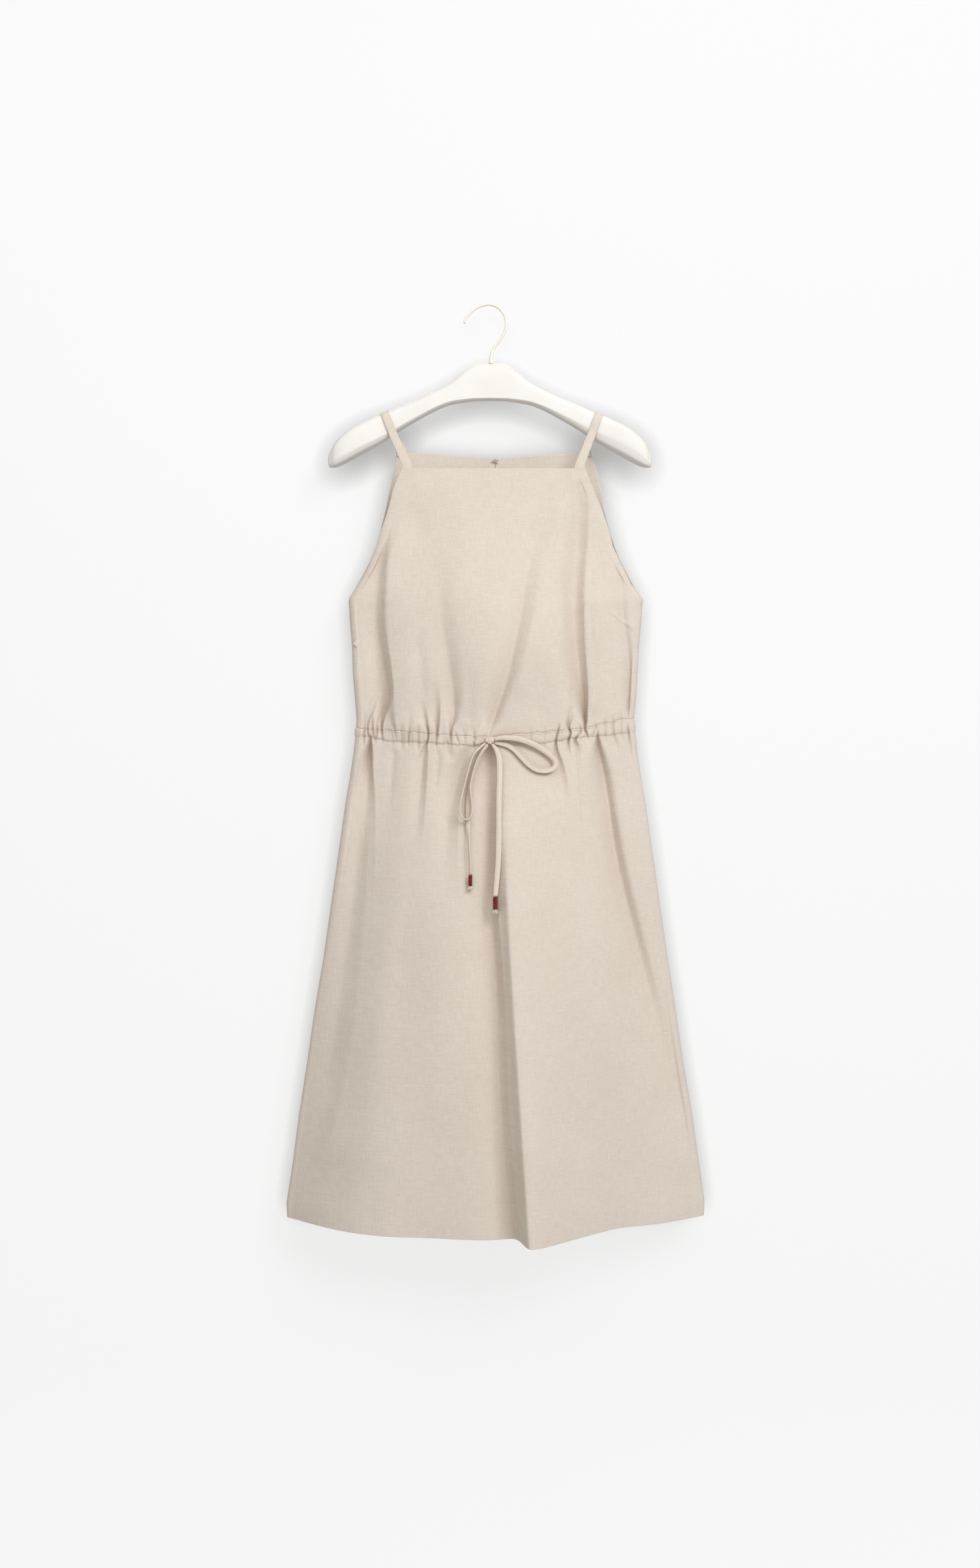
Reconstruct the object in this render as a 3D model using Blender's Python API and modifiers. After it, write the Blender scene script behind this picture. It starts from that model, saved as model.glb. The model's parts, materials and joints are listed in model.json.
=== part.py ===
"""Sleeveless linen dress with a drawstring waist, hanging on a moulded hanger.

Metres, +Z up, +X to the viewer's right, front towards -Y. The origin is the
inside of the hook's bend, where a rail or peg carries the hanger. Tables are
in millimetres, measured from that point.
"""
import math

import bmesh
import bpy
from mathutils import Matrix, Vector

MM = 0.001

# Driving dimensions, metres
CLOTH = 1.4 * MM
SEAM_GAP = 0.3 * MM
CASING_WALL = 2.4 * MM
CASING_PROUD = 0.8 * MM
STRAP_WALL = 1.6 * MM
TIE_WALL = 2.2 * MM
HOOK_WIRE = 3.5 * MM
FRONT_NECK_DROP = 225
UNDERARM_DROP = 399
WAIST_DROP = 585
CENTRE_BACK = 7
SLIT_END_DROP = 305
SLIT_HALF_GAP = 1.3
SLIT_TAPER = 25
FILL_SPACING = 14.0
# Gathers: how far a valley reaches to each side, and how near the side folds one may lie
GATHER_REACH = 3.4
GATHER_EDGE = 3.0
# Share of the width over which folds and gathers fade out at the side folds
EDGE_FADE = 0.06
BODICE_ARM_ROWS = 5
BODICE_SIDE_ROWS = 5
SKIRT_ROWS = 9
HOOK_STEPS = 34

# Side outline, seen from the front: drop below the origin, left edge, right edge
OUTLINE = [
    (399, -192, 208), (412, -191, 206), (430, -190, 205), (465, -187, 202), (500, -186, 200),
    (535, -183, 198), (562, -181, 195), (588, -183, 198), (606, -185, 200), (641, -190, 205),
    (676, -196, 211), (746, -206, 221), (817, -216, 231), (887, -226, 241), (958, -238, 252),
    (1028, -248, 262), (1099, -259, 274), (1169, -268, 284), (1220, -276, 291), (1240, -275, 290),
]
# Armhole edges: drop, left edge, right edge
FRONT_ARMHOLE = [
    (225, -118.5, 128), (250, -130, 139), (276, -136.5, 150), (292, -142, 156), (308, -148, 162),
    (325, -153.5, 166), (342, -160.5, 174), (360, -168.5, 183), (377, -178.5, 192), (399, -192, 208),
]
BACK_ARMHOLE = [
    (197, -128, 138), (215, -129.5, 144.5), (233, -133, 149), (251, -137.5, 152), (269, -141, 155),
    (287, -145, 159), (305, -149.5, 164), (323, -154.5, 169), (341, -161.5, 176), (359, -169.5, 185),
    (376, -179, 193), (399, -192, 208),
]
# Waist seams and hems: place across, drop of the casing's top, drop of its bottom, drop of the hem
FRONT_LINES = [
    (-290, 577, 592, 1236), (-176, 577, 592, 1239), (-90, 581, 596, 1241), (0, 588, 603, 1242),
    (90, 583, 598, 1242), (150, 576, 591, 1240), (200, 563, 579, 1237), (300, 560, 576, 1233),
]
BACK_LINES = [
    (-290, 577, 592, 1236), (-176, 577, 592, 1236), (0, 574, 589, 1234), (200, 563, 579, 1235),
    (300, 560, 576, 1233),
]
BACK_NECK = [(-130, 195), (7, 204), (140, 195)]

# How far the cloth stands out between the side folds, at fractions of its width
STATIONS = (0.0, 0.1, 0.2, 0.35, 0.5, 0.65, 0.8, 0.9, 1.0)
# drop, depth of the edge, roundness of the side fold, then the depth at each inner station
FRONT_SECTIONS = [
    (225, 21, 0.0, 0, 1, 1, 2, 1, 1, 0),
    (310, 11, 0.4, 4, 8, 13, 15, 13, 8, 4),
    (399, 0, 1.0, 8, 20, 34, 38, 35, 22, 9),
    (480, 0, 1.0, 8, 22, 39, 45, 41, 24, 9),
    (570, 0, 1.0, 6, 17, 29, 34, 30, 18, 7),
    (606, 0, 1.0, 6, 18, 30, 35, 31, 19, 7),
    (700, 0, 1.0, 10, 28, 46, 52, 48, 30, 12),
    (850, 0, 1.0, 20, 46, 66, 70, 66, 42, 20),
    (1000, 0, 1.0, 30, 60, 76, 80, 78, 46, 24),
    (1242, 0, 1.0, 44, 72, 79, 89, 90, 39, 27),
]
BACK_SECTIONS = [
    (195, 18, 0.0, 0, 0, 1, 1, 1, 0, 0),
    (310, 9, 0.4, 2, 5, 8, 9, 8, 5, 2),
    (399, 0, 1.0, 4, 9, 14, 16, 14, 9, 4),
    (480, 0, 1.0, 4, 10, 15, 17, 15, 10, 4),
    (570, 0, 1.0, 3, 8, 12, 13, 12, 8, 3),
    (606, 0, 1.0, 3, 8, 12, 14, 12, 8, 3),
    (850, 0, 1.0, 8, 16, 22, 24, 22, 16, 8),
    (1242, 0, 1.0, 12, 22, 28, 30, 28, 22, 12),
]
# Side fold: inset at an open armhole, inset where front and back meet, depth there, and how
# far the cloth faces sideways
SIDE_FOLD = [(0, 0, 0.15, 1.0), (3, 0, 2.5, 1.0), (6, 1.5, 6, 0.8), (10, 5, 9, 0.4), (15, 11, 10, 0.0)]

# Folds: drop and place at the top, middle and bottom, height at the top and bottom (valleys
# are negative), reach to the left and right, length of the fade at the top and bottom
FRONT_FOLDS = [
    ("left_step", 285, -139, 417, -143, 596, -134, 5, 6, 8, 36, 60, 18),
    ("left_gutter", 262, -150, 417, -158, 596, -150, -5, -9, 10, 9, 60, 18),
    ("left_soft", 330, -60, 476, -56, 596, -40, -3, -7, 16, 18, 60, 18),
    ("bow_diagonal", 238, 105, 403, 55, 596, -6, -3, -9, 13, 15, 40, 18),
    ("right_crest", 255, 110, 402, 98, 596, 108, 3, 3, 20, 11, 40, 18),
    ("right_gutter", 255, 131, 402, 119, 596, 130, -9, -12, 11, 11, 40, 18),
    ("right_edge", 350, 176, 430, 185, 596, 190, -3, -5, 9, 7, 40, 18),
    ("hip_left", 594, -157, 625, -158, 690, -160, -9, -5, 7, 9, 16, 50),
    ("short_left", 594, -86, 650, -92, 730, -96, -7, -4, 9, 9, 16, 60),
    ("bow_left", 594, -46, 693, -42, 800, -43, -9, -7, 15, 13, 16, 90),
    ("centre_valley", 594, -2, 830, 15, 1250, 29, -11, -7, 17, 12, 16, 0),
    ("centre_crest", 640, 16, 900, 29, 1250, 51, 5, 32, 10, 38, 90, 0),
    ("short_right", 594, 90, 630, 93, 690, 94, -6, -4, 8, 8, 16, 50),
    ("right_sweep", 594, 150, 860, 200, 1200, 276, -10, -13, 16, 16, 16, 90),
    ("right_small", 594, 190, 615, 195, 660, 203, -4, -3, 7, 6, 16, 30),
]
BACK_FOLDS = [
    ("blade_left", 300, -95, 430, -105, 596, -112, -2, -7, 14, 12, 60, 18),
    ("blade_right", 300, 110, 430, 115, 596, 118, -2, -7, 12, 14, 60, 18),
    ("loin_left", 400, -45, 490, -48, 596, -52, -2, -6, 12, 12, 60, 18),
    ("loin_right", 400, 60, 490, 62, 596, 58, -2, -6, 12, 12, 60, 18),
    ("seat_left", 594, -110, 900, -135, 1250, -165, -7, -14, 16, 24, 16, 0),
    ("seat_centre", 594, -30, 900, -40, 1250, -52, -6, -12, 22, 15, 16, 0),
    ("seat_right", 594, 60, 900, 75, 1250, 88, -6, -13, 16, 24, 16, 0),
    ("seat_edge", 594, 135, 900, 170, 1250, 205, -6, -9, 16, 14, 16, 0),
]
# Gathers at the casing: place, depth of the valley, reach up and reach down
FRONT_GATHERS = [
    (-174, 2.2, 26, 34), (-164, 2.6, 34, 44), (-154, 2.6, 40, 60), (-144, 3.0, 52, 30),
    (-132, 1.8, 20, 24), (-108, 2.6, 34, 46), (-96, 1.6, 18, 20), (-83, 2.8, 44, 60),
    (-70, 2.8, 50, 36), (-53, 2.8, 40, 44), (-43, 2.2, 22, 40), (-33, 2.4, 20, 26),
    (-20, 1.8, 18, 20), (52, 1.2, 12, 14), (88, 2.8, 26, 60), (104, 2.8, 44, 30),
    (115, 2.8, 24, 52), (129, 3.0, 60, 26), (140, 1.8, 20, 22), (152, 2.0, 18, 60),
    (164, 1.6, 18, 18), (175, 1.6, 18, 20), (187, 2.4, 34, 44),
]
BACK_GATHERS = [
    (-168, 2.4, 30, 40), (-154, 2.4, 34, 46), (-138, 2.6, 44, 30), (-120, 2.2, 26, 50),
    (-101, 2.6, 46, 34), (-80, 2.4, 28, 52), (-60, 2.2, 34, 30), (-38, 2.6, 30, 56),
    (-14, 1.8, 22, 26), (28, 2.2, 26, 34), (50, 2.6, 48, 40), (71, 2.2, 28, 30),
    (93, 2.6, 34, 56), (113, 2.4, 46, 30), (132, 2.6, 30, 50), (150, 2.2, 34, 30),
    (166, 2.4, 26, 44), (182, 2.2, 30, 34),
]

# Hanger body, half of it: place, drop of the top, of the front face's lower edge and of the
# underside, then how far it reaches to the front and to the back
HANGER_SECTIONS = [
    (0, 79, 127.5, 129, 11, 11), (19, 79, 127.8, 129.5, 11, 11), (25, 81.5, 128, 130, 11, 11),
    (39, 92.5, 129.5, 132, 11.5, 11.5), (55, 105.5, 132.5, 135, 12, 12), (74, 116, 140, 142.5, 12.5, 12.5),
    (99, 127.5, 153, 156, 13, 13), (121, 136.5, 165.5, 169, 14, 14.5), (138, 144.5, 175.5, 181, 15, 16),
    (161, 154, 187, 194, 17, 19), (183, 164.5, 198, 206, 18.5, 21), (199, 175.5, 206.5, 214.5, 17.5, 20.5),
    (210, 187, 212.5, 219, 14.5, 17), (217, 200, 215.5, 219.5, 8.5, 10),
]
HANGER_END = (219.5, 209)
# Outline across the bar, from the crown forwards: share of the reach (front is negative), share
# of the front face's height, share of the step from its lower edge to the underside
HANGER_PROFILE = [
    (0, 0, 0), (-0.6, 0.05, 0), (-0.93, 0.22, 0), (-1, 0.58, 0), (-0.97, 1, 0), (-0.5, 1, 0.75),
    (0.1, 1, 1), (0.78, 0.9, 1), (1, 0.64, 1), (0.98, 0.45, 0), (0.8, 0.16, 0), (0.42, 0.03, 0),
]
# Wire of the hook: place, drop, thickness as a share of HOOK_WIRE
HOOK_ROUTE = [
    (1.3, 78.5, 1.7), (1.8, 72, 1.6), (3.0, 63, 1.25), (6.5, 56, 1.0), (11.5, 49.5, 1.0),
    (17, 41, 1.0), (20.8, 32, 1.0), (21.8, 22.5, 1.0), (19.6, 13, 1.0), (14.6, 5.6, 1.0),
    (7.6, 0.2, 1.0), (-1.2, -1.75, 1.0), (-11, -0.4, 1.0), (-20.4, 4.2, 1.0), (-28.4, 11.2, 1.0),
    (-33.4, 18.4, 1.0), (-34.6, 24, 1.0),
]

# Shoulder straps: name, place at the front corner, on the hanger, at the back corner
STRAPS = [("strap_left", -111.4, -143, -121), ("strap_right", 121, 147.5, 131)]
STRAP_CORNER_WIDTH = 13.6
STRAP_TOP_WIDTH = 10.0
# Points of the hanger's outline that the strap goes over, front to back
STRAP_CROWN = (3, 2, 1, 0, 11, 10, 9, 8)
STRAP_SLACK = 2.4
# Where the legs leave the bar, as a share of their height, and how far off its face they hang
STRAP_BELOW_BAR = 0.52
STRAP_OFF_FACE = 1.2
# Share of the cloth's width at which the strap's ends take their depth
STRAP_END_SHARE = 0.04

# Drawstring, flat tie: place, drop, distance in front of the skirt, width, turn in degrees
# (0 shows its flat side, 90 its edge)
TIE_STUB = [(-20, 594.5, -0.2, 5.5, 0), (-14, 593.4, 0.6, 5.5, 0), (-7.2, 591.4, 2.4, 4, 0)]
TIE_LOOP_RIGHT = [
    (6.1, 590.4, 3.2, 4, 0), (11.5, 588.8, 4.6, 5.5, 0), (19.7, 587.8, 6.2, 6.5, 0),
    (37.8, 589.6, 7.0, 7, 0), (55.8, 595.6, 6.8, 7, 0), (68, 602.4, 6.4, 7, 0),
    (79.8, 611, 6.0, 6.5, 0), (87.2, 620, 5.6, 5, 0), (84.6, 628, 5.0, 5.5, 0),
    (76, 631.6, 4.6, 6.5, 0), (63.5, 630.6, 4.4, 7, 0), (53, 624.8, 4.2, 7, 0),
    (43.6, 615.6, 4.0, 7, 0), (34, 605.4, 3.6, 6.5, 0), (24.6, 599, 2.8, 6, 0),
    (14.6, 596.2, 1.8, 5, 0), (5.6, 594.6, 0.9, 4, 0),
]
TIE_LOOP_LEFT = [
    (-6.1, 595.2, 3.4, 3.2, 35), (-12.8, 600.6, 6.6, 4.4, 55), (-20.6, 608.6, 8.4, 5, 68),
    (-25.4, 618, 8.8, 5, 72), (-29.2, 632, 8.4, 5, 74), (-32.6, 645, 8.2, 5, 76),
    (-36.4, 661, 8.0, 5, 78), (-39.8, 677, 8.0, 5, 80), (-39.4, 688, 8.0, 5, 82),
    (-34.6, 695, 8.0, 5, 84), (-28, 695.6, 8.0, 5, 86), (-23.8, 689, 8.0, 5, 84),
    (-23.2, 677, 8.0, 5, 82), (-24.8, 664, 8.0, 5, 80), (-25.6, 652, 8.2, 5, 78),
    (-22.6, 637, 8.6, 5, 76), (-17.6, 621, 9.2, 5, 72), (-10.6, 607.4, 9.2, 4.5, 60),
    (-6.2, 600.8, 7.6, 3.6, 48), (-3.3, 597.2, 5.3, 3.0, 30),
]
TIE_TAIL_LEFT = [
    (-2.9, 597.5, 0.8, 3.4, 0), (-5.6, 600.7, 1.5, 4, 0), (-11, 607, 2.2, 5, 0), (-18, 622, 2.2, 5, 0),
    (-24.6, 643, 2.2, 5, 0), (-28, 666, 2.2, 5.5, 0), (-29, 696, 2.4, 6, 8), (-28.2, 726, 4.4, 6, 66),
    (-26.8, 750, 4.4, 6, 62), (-25.8, 767.6, 4.4, 5, 55),
]
TIE_TAIL_RIGHT = [
    (2.7, 596.5, 3.7, 3.4, 0), (7.6, 602.6, 4.2, 5.4, 0), (12, 614, 4.8, 7, 0), (13, 637, 5.4, 7, 0),
    (12.2, 661, 5.6, 7, 0), (12, 690, 5.6, 7, 0), (11.6, 724, 5.6, 7, 0), (10.6, 756, 5.8, 7, 0),
    (8.2, 784, 6.4, 6.5, 0), (7, 796, 7.0, 5.5, 0),
]
KNOT_CENTRE = (-0.6, 591.4, 4.3)
KNOT_SIZE = (12.4, 10.6, 8.6)
# Whipped ends: name, end of the tie, length of the whipping, its diameter, length of the tuft
WHIPPINGS = [
    ("left", TIE_TAIL_LEFT[-1], 15.5, 5.4, 4.0),
    ("right", TIE_TAIL_RIGHT[-1], 17.0, 6.4, 5.0),
]
WHIPPING_SIDES = 10
WHIPPING_GAP = 0.7
# Radius of the tuft at its top and bottom, as a share of the whipping's diameter
TUFT_TOP = 0.36
TUFT_BOTTOM = 0.56

# Hook and thread eye on the inside of the back neck: place from the slit, drop, height off the cloth
FASTENER_WIRE = 0.9 * MM
FASTENER_STEPS = 8
NECK_EYE = [
    (3.8, 205.8, 1.1), (1.4, 206.4, 1.1), (-0.6, 207.6, 1.1), (-0.6, 208.8, 1.1), (1.4, 210, 1.1),
    (3.8, 210.6, 1.1),
]
NECK_HOOK = [(-6.2, 208.4, 1.1), (-4, 208.3, 1.1), (-2.2, 208.2, 2.2), (-0.2, 208.2, 3.0), (2.2, 208.2, 2.8)]

LINEN = (0.72, 0.66, 0.58)
LINEN_TIE = (0.75, 0.69, 0.61)
HANGER_WHITE = (0.9, 0.88, 0.85)
WIRE_CREAM = (0.9, 0.88, 0.8)
THREAD_RED = (0.26, 0.03, 0.04)
TUFT_CREAM = (0.84, 0.78, 0.68)
THREAD_PALE = (0.62, 0.57, 0.5)


def interpolate(rows, at, column):
    """Value of one column at a place between the rows, along the first column."""
    if at <= rows[0][0]:
        return rows[0][column]
    for low, high in zip(rows, rows[1:]):
        if at <= high[0]:
            share = (at - low[0]) / (high[0] - low[0])
            return low[column] + share * (high[column] - low[column])
    return rows[-1][column]


def spline(places, values, at):
    """Smooth curve through values at uneven places."""
    last = len(places) - 1
    index = 0
    while index < last - 1 and at > places[index + 1]:
        index += 1
    start, end = places[index], places[index + 1]
    span = end - start
    share = min(max((at - start) / span, 0.0), 1.0)

    def slope(point):
        before = max(point - 1, 0)
        after = min(point + 1, last)
        return (values[after] - values[before]) / (places[after] - places[before])

    square = share * share
    cube = square * share
    return (
        (2 * cube - 3 * square + 1) * values[index]
        + (cube - 2 * square + share) * span * slope(index)
        + (-2 * cube + 3 * square) * values[index + 1]
        + (cube - square) * span * slope(index + 1)
    )


def smooth(share):
    share = min(max(share, 0.0), 1.0)
    return share * share * (3 - 2 * share)


def section_values(sections, drop):
    """Edge depth, side-fold roundness and station depths at one height."""
    drops = [row[0] for row in sections]
    values = [interpolate(sections, drop, column) for column in (1, 2)]
    for column in range(3, len(sections[0])):
        values.append(spline(drops, [row[column] for row in sections], drop))
    return values


def fold_height(fold, x, drop):
    """Height that one fold adds at a place, zero above and below it."""
    _, top, x_top, middle, x_middle, bottom, x_bottom = fold[:7]
    high_top, high_bottom, left, right, fade_in, fade_out = fold[7:]
    if not top < drop < bottom:
        return 0.0
    centre = spline((top, middle, bottom), (x_top, x_middle, x_bottom), drop)
    height = high_top + (high_bottom - high_top) * (drop - top) / (bottom - top)
    if fade_in:
        height *= smooth((drop - top) / fade_in)
    if fade_out:
        height *= smooth((bottom - drop) / fade_out)
    reach = left if x < centre else right
    return height * math.exp(-(((x - centre) / reach) ** 2))


def gather_height(gathers, x, drop, casing_top, casing_bottom):
    """Crimp of the cloth at the casing: valleys at the gathers, crests between them."""
    total = 0.0
    for place, depth, up, down in gathers:
        if drop < casing_top:
            fade = 1.0 - smooth((casing_top - drop) / up)
        elif drop > casing_bottom:
            fade = 1.0 - smooth((drop - casing_bottom) / down)
        else:
            fade = 1.0
        total -= depth * fade * math.exp(-(((x - place) / GATHER_REACH) ** 2))
    return total


class Side:
    """Front or back of the dress: outline, seams and how far the cloth stands out."""

    def __init__(self, facing, armhole, lines, sections, folds, gathers):
        self.facing = facing
        self.edges = armhole + OUTLINE[1:]
        self.lines = lines
        self.sections = sections
        self.folds = folds
        self.gathers = gathers
        self.fractions = self.column_fractions()

    def left(self, drop):
        return interpolate(self.edges, drop, 1)

    def right(self, drop):
        return interpolate(self.edges, drop, 2)

    def line(self, x, column):
        """Drop of the casing's top (1), its bottom (2) or the hem (3)."""
        places = [row[0] for row in self.lines]
        return spline(places, [row[column] for row in self.lines], x)

    def column_fractions(self):
        """Columns at each gather, half way between gathers and evenly over plain stretches."""
        inset = SIDE_FOLD[-1][1]
        low = self.left(WAIST_DROP) + inset
        high = self.right(WAIST_DROP) - inset
        inside = [row[0] for row in self.gathers if low + GATHER_EDGE < row[0] < high - GATHER_EDGE]
        stops = [low] + inside + [high]
        places = [low]
        for start, end in zip(stops, stops[1:]):
            steps = max(2, math.ceil((end - start) / FILL_SPACING))
            places += [start + (end - start) * step / steps for step in range(1, steps + 1)]
        return [(place - low) / (high - low) for place in places]

    def depth(self, x, drop, fraction, folds=True):
        """Distance in front of the seam plane, in millimetres, inside the side folds."""
        edge, roundness, *stations = section_values(self.sections, drop)
        depths = [0.0] + list(stations) + [0.0]
        value = edge + roundness * SIDE_FOLD[-1][2] + spline(STATIONS, depths, fraction)
        if folds:
            fade = smooth(fraction / EDGE_FADE) * smooth((1.0 - fraction) / EDGE_FADE)
            value += fade * sum(fold_height(fold, x, drop) for fold in self.folds)
            top, bottom = self.line(x, 1), self.line(x, 2)
            value += fade * gather_height(self.gathers, x, drop, top, bottom)
        return value

    def point(self, x, drop, depth):
        return Vector((x, self.facing * depth, -drop)) * MM

    def row(self, drop_at, proud=0.0):
        """Points across the cloth on the line whose drop is drop_at(x), left to right."""
        left = self.left(drop_at(self.left(WAIST_DROP)))
        right = self.right(drop_at(self.right(WAIST_DROP)))
        points = []
        for fold in SIDE_FOLD[:-1]:
            points.append(self.edge_point(left, 1, drop_at, fold, proud))
        inset_open, inset = SIDE_FOLD[-1][:2]
        starts = []
        for edge, way in ((left, 1), (right, -1)):
            roundness = section_values(self.sections, drop_at(edge))[1]
            starts.append(edge + way * (inset_open + roundness * (inset - inset_open)))
        for fraction in self.fractions:
            x = starts[0] + (starts[1] - starts[0]) * fraction
            drop = drop_at(x)
            points.append(self.point(x, drop, self.depth(x, drop, fraction) + proud))
        for fold in reversed(SIDE_FOLD[:-1]):
            points.append(self.edge_point(right, -1, drop_at, fold, proud))
        return points

    def edge_point(self, edge, way, drop_at, fold, proud):
        inset_open, inset, forward, sideways = fold
        edge_depth, roundness = section_values(self.sections, drop_at(edge))[:2]
        x = edge + way * (inset_open + roundness * (inset - inset_open))
        depth = edge_depth + roundness * forward + proud * (1.0 - sideways)
        return self.point(x - way * sideways * proud, drop_at(x), depth)

    def fraction_at(self, x, drop):
        inset = SIDE_FOLD[-1][1]
        low, high = self.left(drop) + inset, self.right(drop) - inset
        return min(max((x - low) / (high - low), 0.0), 1.0)

    def surface(self, x, drop, out=0.0, folds=True):
        """Point in front of the cloth at a place given by x and drop."""
        return self.point(x, drop, self.depth(x, drop, self.fraction_at(x, drop), folds) + out)


FRONT = Side(-1, FRONT_ARMHOLE, FRONT_LINES, FRONT_SECTIONS, FRONT_FOLDS, FRONT_GATHERS)
BACK = Side(1, BACK_ARMHOLE, BACK_LINES, BACK_SECTIONS, BACK_FOLDS, BACK_GATHERS)


def clear_scene():
    for item in list(bpy.data.objects):
        bpy.data.objects.remove(item)


def new_collection(name):
    collection = bpy.data.collections.new(name)
    bpy.context.scene.collection.children.link(collection)
    return collection


def make_material(name, colour, roughness):
    material = bpy.data.materials.new(name)
    material.use_nodes = True
    shader = material.node_tree.nodes["Principled BSDF"]
    shader.inputs["Base Color"].default_value = (*colour, 1.0)
    shader.inputs["Roughness"].default_value = roughness
    shader.inputs["Metallic"].default_value = 0.0
    material.diffuse_color = (*colour, 1.0)
    return material


def add_object(name, mesh, collection, colour, roughness=0.85):
    item = bpy.data.objects.new(name, mesh)
    collection.objects.link(item)
    mesh.materials.append(make_material(name, colour, roughness))
    return item


def sheet(name, rows, wall, collection, colour, offset=-1.0):
    """Cloth wall: a grid moved to the rows' points, thickened with Solidify."""
    across, along = len(rows[0]), len(rows)
    shape = bmesh.new()
    bmesh.ops.create_grid(shape, x_segments=across - 1, y_segments=along - 1, size=1.0)
    shape.verts.ensure_lookup_table()
    for index, vertex in enumerate(shape.verts):
        vertex.co = rows[index // across][index % across]
    mesh = bpy.data.meshes.new(name)
    shape.to_mesh(mesh)
    shape.free()
    mesh.shade_smooth()
    item = add_object(name, mesh, collection, colour)
    solidify = item.modifiers.new("wall", "SOLIDIFY")
    solidify.thickness = wall
    solidify.offset = offset
    return item


def panel(name, rows, wall, collection):
    """Cloth wall whose inner points stay level with the outer ones, so seams keep their gap."""
    item = sheet(name, rows, wall, collection, LINEN)
    outer = len(item.data.vertices)
    graph = bpy.context.evaluated_depsgraph_get()
    mesh = bpy.data.meshes.new_from_object(item.evaluated_get(graph))
    for index in range(outer):
        mesh.vertices[outer + index].co.z = mesh.vertices[index].co.z
    item.modifiers.clear()
    item.data = mesh


def facing_rows(rows, facing):
    """Order that turns the grid's faces towards the outside."""
    return rows if facing > 0 else [list(reversed(row)) for row in rows]


def blend_lines(first, second, share):
    return lambda x: first(x) + (second(x) - first(x)) * share


def panel_rows(side, lines, counts, proud=0.0):
    """Rows of points from each line to the next, the last line included."""
    rows = []
    for (first, second), count in zip(zip(lines, lines[1:]), counts):
        for step in range(count):
            rows.append(side.row(blend_lines(first, second, step / count), proud))
    rows.append(side.row(lines[-1], proud))
    return rows


def build_front_bodice(collection):
    gap = SEAM_GAP / MM
    neck = lambda x: FRONT_NECK_DROP
    underarm = lambda x: UNDERARM_DROP
    waist = lambda x: FRONT.line(x, 1) - gap
    rows = panel_rows(FRONT, (neck, underarm, waist), (BODICE_ARM_ROWS, BODICE_SIDE_ROWS))
    panel("front_bodice", facing_rows(rows, FRONT.facing), CLOTH, collection)


def slit_half_gap(drop):
    closed = SEAM_GAP / MM / 2
    return closed + (SLIT_HALF_GAP - closed) * smooth((SLIT_END_DROP - drop) / SLIT_TAPER)


def build_back_bodice(collection):
    gap = SEAM_GAP / MM
    neck = lambda x: interpolate(BACK_NECK, x, 1)
    underarm = lambda x: UNDERARM_DROP
    waist = lambda x: BACK.line(x, 1) - gap
    rows = panel_rows(BACK, (neck, underarm, waist), (BODICE_ARM_ROWS, BODICE_SIDE_ROWS))
    centre = min(range(len(rows[0])), key=lambda column: abs(rows[0][column].x / MM - CENTRE_BACK))
    halves = (
        ("back_bodice_left", slice(0, centre), -1),
        ("back_bodice_right", slice(centre + 1, None), 1),
    )
    for name, chosen, way in halves:
        half_rows = []
        for row in rows:
            kept = list(row[chosen])
            middle = row[centre].copy()
            half = slit_half_gap(-middle.z / MM)
            middle.x = (CENTRE_BACK + way * half) * MM
            half_rows.append(kept + [middle] if way < 0 else [middle] + kept)
        panel(name, facing_rows(half_rows, BACK.facing), CLOTH, collection)


def build_casing(side, name, collection):
    top = lambda x: side.line(x, 1)
    bottom = lambda x: side.line(x, 2)
    rows = panel_rows(side, (top, bottom), (2,), CASING_PROUD / MM)
    panel(name, facing_rows(rows, side.facing), CASING_WALL, collection)


def build_skirt(side, name, collection):
    gap = SEAM_GAP / MM
    waist = lambda x: side.line(x, 2) + gap
    hem = lambda x: side.line(x, 3)
    rows = panel_rows(side, (waist, hem), (SKIRT_ROWS,))
    panel(name, facing_rows(rows, side.facing), CLOTH, collection)


def hanger_ring(place):
    """Outline of the hanger across its bar at a distance from the middle, from the crown forwards."""
    top, front_low, low, front, back = (
        interpolate(HANGER_SECTIONS, abs(place), column) for column in range(1, 6)
    )
    ring = []
    for reach, height, under in HANGER_PROFILE:
        y = reach * (front if reach < 0 else back)
        drop = top + height * (front_low - top) + under * (low - front_low)
        ring.append(Vector((place, y, -drop)) * MM)
    return ring


def build_hanger(collection):
    """Moulded body: a loft through its sections, closed to a point at each tip."""
    places = sorted({sign * row[0] for row in HANGER_SECTIONS for sign in (-1, 1)})
    shape = bmesh.new()
    rings = [[shape.verts.new(point) for point in hanger_ring(place)] for place in places]
    count = len(rings[0])
    for low, high in zip(rings, rings[1:]):
        for index in range(count):
            follow = (index + 1) % count
            shape.faces.new((low[index], low[follow], high[follow], high[index]))
    tip_place, tip_drop = HANGER_END
    for ring, way in ((rings[0], -1), (rings[-1], 1)):
        tip = shape.verts.new(Vector((way * tip_place, 0, -tip_drop)) * MM)
        for index in range(count):
            shape.faces.new((ring[index], ring[(index + 1) % count], tip))
    bmesh.ops.recalc_face_normals(shape, faces=shape.faces)
    mesh = bpy.data.meshes.new("hanger_body")
    shape.to_mesh(mesh)
    shape.free()
    mesh.shade_smooth()
    add_object("hanger_body", mesh, collection, HANGER_WHITE, 0.45)


def smooth_route(rows, steps):
    """More rows between the given ones, on a smooth curve through all of them."""
    spans = [0.0]
    for before, after in zip(rows, rows[1:]):
        spans.append(spans[-1] + math.dist(before[:3], after[:3]))
    total = spans[-1]
    columns = list(zip(*rows))
    return [
        tuple(spline(spans, column, total * step / steps) for column in columns)
        for step in range(steps + 1)
    ]


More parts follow.
